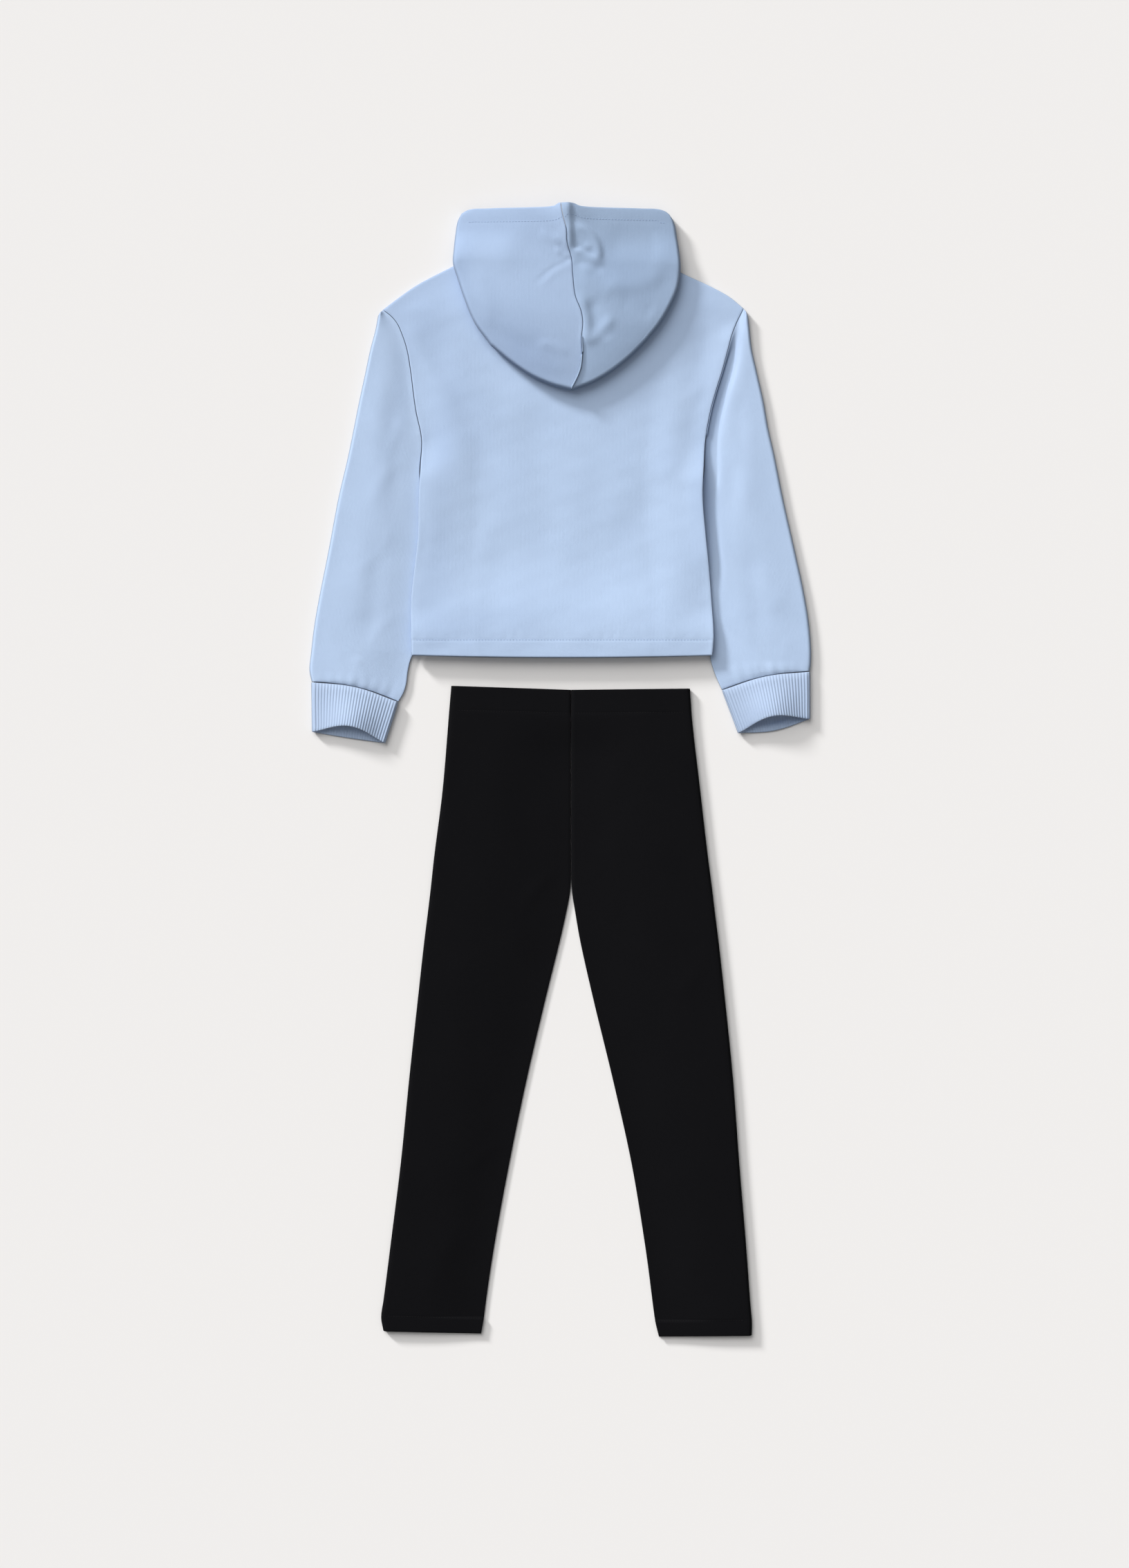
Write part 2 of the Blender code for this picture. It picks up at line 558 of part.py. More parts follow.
def hood_half(side, look):
    key = side_key(side)
    gap = seam_gap / 2 * side
    out_x = np.array(hood_outline[key + " x"], float)
    out_y = np.array(hood_outline[key + " y"], float)
    corner = hood_corner
    # Silhouette rows down the side and columns along the bottom, with the fold's radius at each
    length = np.cumsum(np.hypot(np.diff(out_x[:corner + 1]), np.diff(out_y[:corner + 1])))
    shoulder_row = length[hood_at_shoulder - 1] / length[-1]
    side_ways = np.concatenate([hood_rim_rows * shoulder_row,
                                shoulder_row + (1 - shoulder_row) * hood_tip_rows])
    side_line = along(out_x[:corner + 1], out_y[:corner + 1], side_ways)
    share = hood_neck_share
    columns = np.concatenate([hood_neck_ways * share, share + (1 - share) * hood_out_ways])
    bottom_line = along(out_x[corner:], out_y[corner:], 1 - columns)
    outline = np.concatenate([side_line, bottom_line[::-1][1:]])
    inward = left_normals(outline) * -side
    tip_run = hood_seam_line(np.array([444.0]))[0] - hood_seam_line(np.array([430.0]))[0]
    inward[-1] = tip_run / np.linalg.norm(tip_run)
    inward /= np.linalg.norm(inward, axis=1, keepdims=True)
    rows = len(side_ways)
    count = len(columns)
    shoulder = len(hood_rim_rows) - 1
    radius = np.full(len(outline), hood_fold)
    radius[:rows] = hood_rim_fold + (hood_fold - hood_rim_fold) * smooth(side_ways / shoulder_row)
    # The fold's reach in plan dies away into the rim's rounded corner
    reach = radius.copy()
    reach[:rows] *= 0.12 + 0.88 * smooth(side_ways * length[-1] / hood_corner_run)
    inset = outline + inward * reach[:, None]
    side_in = inset[:rows]
    bottom_in = inset[rows - 1:][::-1]
    tip_y = bottom_in[0, 1]
    # Upper layer: centre seam, rim, side fold and bottom fold
    rim_y = hood_rim_line["y"][0]
    seam_ways = np.concatenate([hood_rim_rows * 0.3, 0.3 + 0.7 * hood_tip_rows])
    seam = hood_seam_line(rim_y + (tip_y - rim_y) * seam_ways)
    seam[:, 0] += gap
    bottom_in[0, 0] = seam[-1, 0]
    inset[-1, 0] = seam[-1, 0]
    rim = np.empty((count, 2))
    rim[:, 0] = seam[0, 0] + (side_in[0, 0] - seam[0, 0]) * columns
    rim[:, 1] = through(hood_rim_line["way"], hood_rim_line["y"], columns)
    rim[-1] = side_in[0]
    top_net = patch(rim, bottom_in, seam, side_in, columns, side_ways)
    # Lower layer, part 1: the cheek, from the lower rim to the front neckline and over the shoulder
    neck_front = neck_points(side, hood_neck_ways, front_neck_y, 3.0)
    neck_back = neck_points(side, hood_neck_ways, back_neck_y, 2.2)
    shoulder_ways = 1 - (1 - share) * hood_out_ways[:-1]
    over = shoulder_points(side, shoulder_ways)
    uphill = left_normals(shoulder_points(side, np.linspace(0, 1, 9)))[4] * -side
    over = over + uphill * hood_shoulder_clearance
    front_line = np.concatenate([neck_front + [0, seam_gap], over, side_in[shoulder:shoulder + 1]])
    front_line[:6] += left_normals(neck_front) * side * 0.1
    front_line[0, 0] = neck_middle_x + 1.5 * side
    front_line[5] += uphill * 0.9
    back_line = np.concatenate([neck_back, over, side_in[shoulder:shoulder + 1]])
    back_line[0, 0] = hood_seam_line(np.array([back_neck_y]))[0, 0] + gap
    low_rim = np.empty((count, 2))
    low_rim[:, 0] = neck_middle_x + 1.5 * side + (side_in[0, 0] - neck_middle_x - 1.5 * side) * columns
    low_rim[:, 1] = hood_low_rim_y + (side_in[0, 1] - 1.5 - hood_low_rim_y) * smooth(columns / 0.5)
    low_rim[-1] = side_in[0]
    cheek_in = low_rim[0] + (front_line[0] - low_rim[0]) * hood_rim_rows[:, None]
    cheek = patch(low_rim, front_line, cheek_in, side_in[:shoulder + 1], columns, hood_rim_rows)
    # Lower layer, part 2: from the back neckline down to the tip, lying on the back panel
    nape_ys = back_neck_y + (tip_y - back_neck_y) * np.append(0, hood_tip_rows)
    nape_in = hood_seam_line(nape_ys)
    nape_in[:, 0] += gap
    nape_in[-1] = bottom_in[0]
    nape = patch(back_line, bottom_in, nape_in, side_in[shoulder:], columns, np.append(0, hood_tip_rows))
    # Heights
    cheek_z = np.zeros(cheek.shape[:2])
    shoulder_top = 2 * fleece + seam_gap + hood_rest_gap
    joint = len(hood_neck_ways)
    cheek_z[:, joint:] = shoulder_top * smooth((hood_rim_rows[:, None] - 0.35) / 0.65)
    nape_z = back_height(nape[..., 0], nape[..., 1]) + hood_rest_gap
    nape_z[0, joint:] = shoulder_top
    side_low = np.concatenate([cheek_z[:, -1], nape_z[1:, -1]])
    bottom_low = nape_z[-1]
    low_edge = np.concatenate([side_low, bottom_low[::-1][1:]])
    top_edge = low_edge + 2 * radius
    u = columns[None, :]
    v = side_ways[:, None]
    x = top_net[..., 0]
    y = top_net[..., 1]
    edge_top = patch(np.full((count, 1), top_edge[0]), top_edge[rows - 1:][::-1][:, None],
                     np.linspace(top_edge[0], top_edge[-1], rows)[:, None], top_edge[:rows][:, None],
                     columns, side_ways)[..., 0]
    inside = np.sin(math.pi / 2 * (1 - u)) ** 1.0 * np.sin(math.pi / 2 * np.clip((1 - v) * 2.2, 0, 1))
    dome = hood_dome * inside
    rim_rise = hood_rim_rise * (1 - smooth(v / 0.35)) * (1 - u) * 0.6
    bump = 3.0 * np.exp(-(((x - 8) / 22) ** 2)) * (1 - smooth(v / 0.28))
    creases = fold_height(x, y, hood_folds) * smooth((1 - u) / 0.25) * smooth((1 - v) / 0.2)
    top_z = edge_top + dome + rim_rise + bump + creases
    # One list of points: upper layer, cheek, nape, then the fold's arcs between the two layers
    upper_points = np.dstack([top_net, top_z]).reshape(-1, 3)
    cheek_points = np.dstack([cheek, cheek_z]).reshape(-1, 3)
    nape_points = np.dstack([nape, nape_z]).reshape(-1, 3)
    first_cheek = len(upper_points)
    first_nape = first_cheek + len(cheek_points)
    upper_index = np.arange(first_cheek).reshape(rows, count)
    cheek_index = first_cheek + np.arange(len(cheek_points)).reshape(shoulder + 1, count)
    nape_index = first_nape + np.arange(len(nape_points)).reshape(rows - shoulder, count)
    nape_index[0, joint:] = cheek_index[-1, joint:]
    arcs = 3
    turn = np.linspace(0, math.pi, arcs + 2)[1:-1]
    arc_points = []
    for place, m, out, r, low in zip(inset, inward, reach, radius, low_edge):
        plan = place - m * (out * np.sin(turn))[:, None]
        arc_points.append(np.column_stack([plan, low + r + r * np.cos(turn)]))
    arc_points = np.array(arc_points)
    first_arc = first_nape + len(nape_points)
    arc_index = first_arc + np.arange(len(outline) * arcs).reshape(len(outline), arcs)
    upper_edge = np.concatenate([upper_index[:, -1], upper_index[-1, :-1][::-1]])
    lower_edge = np.concatenate([cheek_index[:, -1], nape_index[1:, -1], nape_index[-1, :-1][::-1]])
    belt = np.column_stack([upper_edge, arc_index, lower_edge])

    right = side > 0
    quads = np.concatenate([
        net_quads(upper_index, right),
        net_quads(belt, right),
        net_quads(cheek_index, not right),
        net_quads(nape_index, not right),
    ])
    points = np.concatenate([upper_points, cheek_points, nape_points, arc_points.reshape(-1, 3)])
    used = np.unique(quads)
    order = np.zeros(len(points), int)
    order[used] = np.arange(len(used))
    tip = np.concatenate([[upper_index[-1, 0], nape_index[-1, 0]], arc_index[-1]])
    tip_across = (inward[-1][1], -inward[-1][0])
    cuts = [(order[k], tip_across) for k in tip]
    cuts.append((order[upper_index[0, 0]], left_normals(seam)[0]))
    wall(key + "_hood", points[used], order[quads], fleece, look, cuts)


def leg(side, look):
    key = side_key(side)
    levels = np.array(leg_levels, float)
    outer = np.stack([through(legs["y"], legs[key + " outer"], levels), levels], axis=1)
    inner = np.stack([through(legs["y"], legs[key + " inner"], levels), levels], axis=1)
    inner[:, 0] = side * np.maximum(side * inner[:, 0], side * rise_x + seam_gap / 2)
    k = 0 if side < 0 else 1
    end = smooth((-560 - levels) / 60)
    outer[:, 1] -= leg_end_drop[k] * end
    inner[:, 1] += (leg_end_slope[k] * ankle_width - leg_end_drop[k]) * end
    waist = smooth((levels - 40) / 40)
    inner[:, 1] -= 2.0 * waist
    casing = smooth((levels - (waist_y - casing_depth)) / 1.5 + 0.5)
    hem = smooth((ankle_hem_y - levels) / 1.5 + 0.5)
    thickness = jersey + (casing_wall - jersey) * casing + jersey * hem
    # The outside climbs slowly to the casing's height, and the fold with it
    climb = smooth((levels - (waist_y - casing_depth) + 52.0) / 50.0)
    bulk = np.maximum(thickness, jersey + (casing_wall - jersey) * climb)
    fold = np.maximum(leg_fold, bulk + 0.25)
    height = 2 * bulk + seam_gap
    rise = leg_rise * (1 - 0.75 * climb) * (1 - 0.6 * hem)
    rows = []
    for a, b, f, h, up in zip(outer, inner, fold, height, rise):
        across = b - a
        width = np.linalg.norm(across)
        u, z = folded_section(width, f, h, up, 9, 3, 7)
        rows.append(np.column_stack([a + across / width * u[:, None], z]))
    net = np.array(rows)
    way = np.linspace(1, 0, 9)
    upper = net[:, :9]
    calm = (1 - casing) * (1 - hem)
    upper[..., 2] += fold_height(upper[..., 0], upper[..., 1], leg_folds) * np.sin(
        math.pi * way) * calm[:, None]
    quads = grid_quads(net.shape[0], net.shape[1], turn=side > 0)
    wall(key + "_leg", net.reshape(-1, 3), quads, np.repeat(thickness, net.shape[1]), look)


def main():
    for old in list(bpy.data.objects):
        bpy.data.objects.remove(old, do_unlink=True)
    fleece_look = cloth_look("light blue fleece", (0.48, 0.60, 0.81), 0.9)
    rib_look = cloth_look("light blue rib", (0.45, 0.57, 0.79), 0.88)
    jersey_look = cloth_look("black jersey", (0.012, 0.012, 0.014), 0.8)
    body_panel("front_panel", fleece_look, back=False)
    body_panel("back_panel", fleece_look, back=True)
    for side in (-1, 1):
        sleeve(side, fleece_look)
        hood_half(side, fleece_look)
        leg(side, jersey_look)
    for k in range(2):
        cuff(k, rib_look)


main()
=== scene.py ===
import math

import bpy
import numpy as np
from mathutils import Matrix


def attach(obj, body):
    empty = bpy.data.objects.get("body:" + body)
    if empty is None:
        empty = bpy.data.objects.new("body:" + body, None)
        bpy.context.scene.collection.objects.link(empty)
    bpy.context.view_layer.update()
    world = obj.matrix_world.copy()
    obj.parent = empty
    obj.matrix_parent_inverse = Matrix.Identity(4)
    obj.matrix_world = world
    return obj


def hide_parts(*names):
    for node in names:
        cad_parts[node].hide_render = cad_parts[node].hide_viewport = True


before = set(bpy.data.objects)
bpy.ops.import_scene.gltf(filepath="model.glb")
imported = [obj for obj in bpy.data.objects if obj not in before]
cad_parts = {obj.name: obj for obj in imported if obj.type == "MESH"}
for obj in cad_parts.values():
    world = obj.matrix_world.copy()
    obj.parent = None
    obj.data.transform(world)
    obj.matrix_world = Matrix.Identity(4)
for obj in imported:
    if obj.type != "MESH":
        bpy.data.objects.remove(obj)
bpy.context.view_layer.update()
scene = bpy.context.scene
mm = 0.001

# Camera: straight down, level with the page
view = {"lens": 85.0, "sensor": 36.0, "height": 4.177, "x": 0.0051, "y": -0.0140}


def makeCamera():
    # A camera's own axis points down, so it needs no turn
    data = bpy.data.cameras.new("camera")
    data.lens = view["lens"]
    data.sensor_fit = "VERTICAL"
    data.sensor_height = view["sensor"]
    data.clip_end = 50.0
    camera = bpy.data.objects.new("camera", data)
    camera.location = (view["x"], view["y"], view["height"])
    scene.collection.objects.link(camera)
    scene.camera = camera


makeCamera()

# Cloth thicknesses and the gap left at each seam
cloth = {"fleece": 2.0, "rib": 2.4, "jersey": 1.2, "gap": 0.3}


def smooth(value):
    # 3v^2 - 2v^3 between 0 and 1
    value = np.clip(value, 0.0, 1.0)
    return value * value * (3.0 - 2.0 * value)


def bell(value):
    # e to the power of minus v squared
    return np.exp(-value * value)


def finer(knots, step):
    # Splits each gap between the knots into equal parts no longer than the step
    knots = np.asarray(knots, float)
    parts = [np.linspace(a, b, max(math.ceil(abs(b - a) / step), 1), endpoint=False)
             for a, b in zip(knots, knots[1:])]
    return np.append(np.concatenate(parts), knots[-1])


def through(knots, values, at):
    # Smooth line through the values at the knots; its slope at a knot is the mean of its sides
    knots, values = np.asarray(knots, float), np.asarray(values, float)
    if knots[0] > knots[-1]:
        knots, values = knots[::-1], values[::-1]
    at = np.clip(np.asarray(at, float), knots[0], knots[-1])
    span = np.diff(knots)
    slope = np.diff(values) / span
    tangent = np.concatenate([slope[:1], (slope[:-1] + slope[1:]) / 2, slope[-1:]])
    k = np.clip(np.searchsorted(knots, at, side="right") - 1, 0, len(span) - 1)
    t = (at - knots[k]) / span[k]
    rise = (2 * t**3 - 3 * t**2 + 1) * values[k] + (3 * t**2 - 2 * t**3) * values[k + 1]
    return rise + span[k] * ((t**3 - 2 * t**2 + t) * tangent[k] + (t**3 - t**2) * tangent[k + 1])


def lengthAlong(line):
    # Distance run along a line of points
    return np.concatenate([[0.0], np.cumsum(np.linalg.norm(np.diff(line, axis=0), axis=1))])


def along(xs, ys, ways):
    # Points at fractions of the length of the smooth line through (xs, ys)
    length = lengthAlong(np.stack([xs, ys], axis=1))
    way = np.asarray(ways) * length[-1]
    return np.stack([through(length, xs, way), through(length, ys, way)], axis=1)


def leftNormals(line):
    # Unit vectors in plan at right angles to a line, to the left of its run
    run = np.gradient(line[:, :2], axis=0)
    run = run / np.linalg.norm(run, axis=1, keepdims=True)
    return np.stack([-run[:, 1], run[:, 0]], axis=1)


def patch(start, end, first, last, across, down, fade=1.0):
    # Rows from start to end, columns from first to last; the sides' bends die away inwards
    u, v = across[None, :, None], down[:, None, None]
    ruled = (1 - v) * start[None] + v * end[None]
    return ruled + (1 - u)**fade * (first[:, None] - ruled[:, :1]) + u**fade * (last[:, None] - ruled[:, -1:])


def creaseHeight(x, y, creases):
    # Sum of soft ridges and troughs. Each is a bell across a line that runs from one point to another
    # and swings sideways by its bow; lean makes its left flank wider and its right one steeper.
    total = np.zeros_like(x)
    for ax, ay, bx, by, bow, width, height, lean in creases:
        length = math.hypot(bx - ax, by - ay)
        dx, dy = (bx - ax) / length, (by - ay) / length
        way = ((x - ax) * dx + (y - ay) * dy) / length
        off = (x - ax) * dy - (y - ay) * dx - bow * np.sin(math.pi * np.clip(way, 0, 1))
        ends = smooth((way + 0.2) / 0.4) * smooth((1.2 - way) / 0.4)
        total = total + height * bell(off / (width * np.exp(-lean * np.tanh(off / width)))) * ends
    return total


def unevenness(x, y, size, height, turn=0.0):
    # A few crossing sine waves of unlike length and heading, so that nothing lies dead level
    total = np.zeros_like(x)
    for k in range(5):
        angle = turn + 2.4 * k
        pitch = size * (0.7 + 0.23 * k)
        wave = x * math.cos(angle) + y * math.sin(angle)
        total = total + np.sin(2 * math.pi * wave / pitch + 1.7 * k + turn)
    return total * height / 3.0


def gridQuads(rows, columns, turn=False):
    # Quads of a rows by columns net; turn faces them the other way
    index = np.arange(rows * columns).reshape(rows, columns)
    return indexQuads(index, turn)


def indexQuads(index, turn=False):
    # Quads between the neighbours of a net of point numbers
    quads = np.stack([index[:-1, :-1], index[:-1, 1:], index[1:, 1:], index[1:, :-1]], axis=-1).reshape(-1, 4)
    return quads[:, ::-1] if turn else quads


def pointNormals(points, quads):
    # Each point's normal: the sum of its quads' unit cross products of their diagonals
    faces = np.cross(points[quads[:, 2]] - points[quads[:, 0]], points[quads[:, 3]] - points[quads[:, 1]])
    faces /= np.maximum(np.linalg.norm(faces, axis=1, keepdims=True), 1e-12)
    normals = np.zeros((len(points), 3))
    for corner in range(4):
        np.add.at(normals, quads[:, corner], faces)
    return normals


def paintedShade(x, y, spots):
    # Painted shade: the sum of soft oval spots in plan, each a bell about its middle with its own half sizes
    # and turn
    total = np.zeros_like(x)
    for cx, cy, halfLength, halfWidth, turn, depth in spots:
        c, s = math.cos(math.radians(turn)), math.sin(math.radians(turn))
        u, v = (x - cx) * c + (y - cy) * s, (y - cy) * c - (x - cx) * s
        total = total + depth * bell(np.hypot(u / halfLength, v / halfWidth))
    return total


def makeMesh(name, points, quads, cornerUv, look, spots=()):
    # Points, quads that face out, and at each corner the cloth's own flat place, which is kept in metres.
    # The steepness is 0 where the cloth lies level and 1 where it stands on edge, and steep cloth is given
    # painted shade by it; the painted shade attribute holds the spots where shade is painted into the colour.
    mesh = bpy.data.meshes.new(name)
    mesh.from_pydata((points * mm).tolist(), [], quads.tolist())
    mesh.uv_layers.new(name="clothPlace").data.foreach_set("uv", (cornerUv * mm).astype(np.float32).ravel())
    normals = pointNormals(points, quads)
    steep = 1.0 - np.abs(normals[:, 2]) / np.maximum(np.linalg.norm(normals, axis=1), 1e-12)
    shade = paintedShade(points[:, 0], points[:, 1], spots)
    for layer, values in (("steepness", steep), ("paintedShade", shade)):
        mesh.attributes.new(layer, "FLOAT", "POINT").data.foreach_set("value", values.astype(np.float32))
    mesh.shade_smooth()
    mesh.materials.append(look)
    piece = bpy.data.objects.new(name, mesh)
    scene.collection.objects.link(piece)
    return piece


def makeShell(name, points, quads, uv, thickness, look, cuts=(), cornerUv=None, edge=9.0, spots=()):
    # Cloth wall. Outer face: the points. Inner face: one thickness behind them. Each free edge is a half
    # round: centre + r cos(a) outwards + t/2 sin(a) along the normal, a from 90 to -90 degrees. r is half
    # the thickness, or the edge's own reach where that is less, as at a seam. Each cut is a point and a
    # direction in plan that the wall there is also cut square to.
    count = len(points)
    cornerUv = uv[quads] if cornerUv is None else cornerUv
    thickness = np.broadcast_to(thickness, (count,))[:, None]
    normals = pointNormals(points, quads)
    a, b = quads.reshape(-1), np.roll(quads, -1, axis=1).reshape(-1)
    near = np.roll(quads, 1, axis=1).reshape(-1)  # the corner inside from a, and inside from b
    nearB = np.roll(quads, -2, axis=1).reshape(-1)
    uvA, uvB = cornerUv.reshape(-1, 2), np.roll(cornerUv, -1, axis=1).reshape(-1, 2)
    free = ~np.isin(a * count + b, b * count + a)
    a, b, near, nearB, uvA, uvB = a[free], b[free], near[free], nearB[free], uvA[free], uvB[free]
    run = np.zeros((count, 3))
    step = points[b] - points[a]
    step /= np.maximum(np.linalg.norm(step, axis=1, keepdims=True), 1e-12)
    np.add.at(run, a, step)
    np.add.at(run, b, step)
    outward = np.cross(run, normals)
    outward[:, 2] = 0.0
    size = np.linalg.norm(outward, axis=1, keepdims=True)
    outward = np.divide(outward, size, out=np.zeros_like(outward), where=size > 1e-6)
    normals -= (normals * outward).sum(axis=1, keepdims=True) * outward
    for k, direction in cuts:
        plane = np.append(direction, 0.0)
        normals[k] -= normals[k].dot(plane) * plane
    normals /= np.maximum(np.linalg.norm(normals, axis=1, keepdims=True), 1e-12)
    room = np.full(count, 1e9)
    np.minimum.at(room, a, ((points[a] - points[near]) * outward[a]).sum(axis=1))
    np.minimum.at(room, b, ((points[b] - points[nearB]) * outward[b]).sum(axis=1))
    radius = np.minimum(np.minimum(thickness[:, 0] / 2, edge), 0.6 * room)
    radius = np.clip(radius, 0.0, None)[:, None] * (size > 1e-6)
    outer = points - outward * radius
    inner = outer - normals * thickness
    rim, place = np.unique(np.concatenate([a, b]), return_inverse=True)
    placeA, placeB = place[:len(a)], place[len(a):]
    reach, half = outward[rim] * radius[rim], normals[rim] * thickness[rim] / 2
    angles = np.radians((60, 30, 0, -30, -60))
    rings = [outer[rim] - half + reach * math.cos(t) + half * math.sin(t) for t in angles]
    starts = [2 * count + k * len(rim) for k in range(len(angles))]
    steps = [(a, b)] + [(start + placeA, start + placeB) for start in starts] + [(a + count, b + count)]
    rimQuads = [np.stack([b1, a1, a2, b2], axis=1) for (a1, b1), (a2, b2) in zip(steps, steps[1:])]
    rimUv = np.tile(np.stack([uvB, uvA, uvA, uvB], axis=1), (len(rimQuads), 1, 1))
    allQuads = np.concatenate([quads, quads[:, ::-1] + count] + rimQuads)
    allUv = np.concatenate([cornerUv, cornerUv[:, ::-1], rimUv])
    return makeMesh(name, np.concatenate([outer, inner] + rings), allQuads, allUv, look, spots)


def makeStitches(name, line, look, length=2.7, pitch=3.5, radius=0.28, lift=0.1):
    # A row of sewn stitches spaced along a line of points: six-sided threads, each thickest in its middle
    # and pulled down at both ends by the square of the distance from it
    run = lengthAlong(line)
    middles = np.arange(pitch * 0.6, run[-1] - pitch * 0.5, pitch)
    shape = np.array([(-0.5, 0.35), (-0.36, 0.85), (0.0, 1.0), (0.36, 0.85), (0.5, 0.35)])
    turns = np.arange(6) * math.pi / 3
    at = middles[:, None] + shape[None, :, 0] * length
    centres = np.stack([np.interp(at, run, line[:, k]) for k in range(3)], axis=-1)
    centres[..., 2] += lift - 0.35 * (shape[:, 0] / 0.5)**2
    ends = centres[:, -1] - centres[:, 0]
    side = np.stack([-ends[:, 1], ends[:, 0], np.zeros(len(ends))], axis=1)
    side /= np.linalg.norm(side, axis=1, keepdims=True)
    up = np.array([0.0, 0.0, 1.0])
    ring = side[:, None, None] * np.cos(turns)[None, None, :, None] + up * np.sin(turns)[None, None, :, None]
    points = centres[:, :, None] + ring * (radius * shape[:, 1])[None, :, None, None]
    count, rings, sides = points.shape[:3]
    index = np.arange(rings * sides).reshape(rings, sides)
    index = np.concatenate([index, index[:, :1]], axis=1)
    quads = indexQuads(index, turn=True)
    caps = np.array([[0, 1, 2, 3], [0, 3, 4, 5]])
    last = (rings - 1) * sides
    quads = np.concatenate([quads, caps, caps[:, ::-1] + last])
    quads = (quads[None] + (np.arange(count) * rings * sides)[:, None, None]).reshape(-1, 4)
    points = points.reshape(-1, 3)
    return makeMesh(name, points, quads, points[quads][..., :2], look)


print("camera and tools ready")


# Finishes
fleeceSet = {"colour": (0.472, 0.598, 0.806), "deep": (0.427, 0.551, 0.762), "wale": 0.95, "course": 0.8,
             "knit": 0.10, "nap": 0.35, "roughness": 0.92, "sheen": 0.10, "shine": 0.25, "paintedEdgeShade": 0.78,
             "loopTone": 0.3}
# Painted shade: the hood's fleece is coloured darker than the body's
hoodPaintedShadeSet = dict(fleeceSet, paintedEdgeShade=0.56, colour=(0.398, 0.512, 0.710), deep=(0.358, 0.470, 0.668))
ribSet = {"colour": (0.440, 0.545, 0.720), "deep": (0.370, 0.470, 0.650), "wale": 1.13, "course": 0.9,
          "knit": 0.02, "nap": 0.15, "roughness": 0.9, "sheen": 0.08, "shine": 0.25, "paintedEdgeShade": 0.68,
          "loopTone": 0.05}
jerseySet = {"colour": (0.0050, 0.0050, 0.0060), "deep": (0.0036, 0.0036, 0.0046), "wale": 0.8, "course": 0.7,
             "knit": 0.06, "nap": 0.12, "roughness": 0.85, "sheen": 0.01, "shine": 0.05, "paintedEdgeShade": 0.95,
             "loopTone": 0.3}
# The noises of a cloth, each with its scale, detail and roughness, and the tone that painted shade mixes
# towards
grain = {"pile": (900.0, 5.0, 0.65), "streak": (260.0, 3.0, 0.6), "mottle": (22.0, 4.0, 0.55)}
paintedShadeTone = (0.07, 0.13, 0.30, 1.0)


def addNode(tree, kind, inputs, **settings):
    # A node with its settings; each input is a value or another node's output
    node = tree.nodes.new(kind)
    for key, value in settings.items():
        setattr(node, key, value)
    for key, value in inputs.items():
        if isinstance(value, bpy.types.NodeSocket):
            tree.links.new(value, node.inputs[key])
        else:
            node.inputs[key].default_value = value
    return node


def maths(tree, operation, first, second=0.0):
    # The output of one sum on two inputs
    return addNode(tree, "ShaderNodeMath", {0: first, 1: second}, operation=operation).outputs[0]


def addUp(tree, terms, total=0.0):
    # Each output times its weight, all added to the total
    for output, weight in terms:
        total = addNode(tree, "ShaderNodeMath", {0: output, 1: weight, 2: total},
                        operation="MULTIPLY_ADD").outputs[0]
    return total


def mixColours(tree, share, first, second):
    # From the first colour to the second by the share
    return addNode(tree, "ShaderNodeMixRGB", {"Fac": share, "Color1": first, "Color2": second}).outputs[0]


def newLook(name, inputs):
    # A material whose shader has these constant inputs
    look = bpy.data.materials.new(name)
    look.use_nodes = True
    shader = look.node_tree.nodes["Principled BSDF"]
    for key, value in inputs.items():
        shader.inputs[key].default_value = value
    return look, look.node_tree, shader


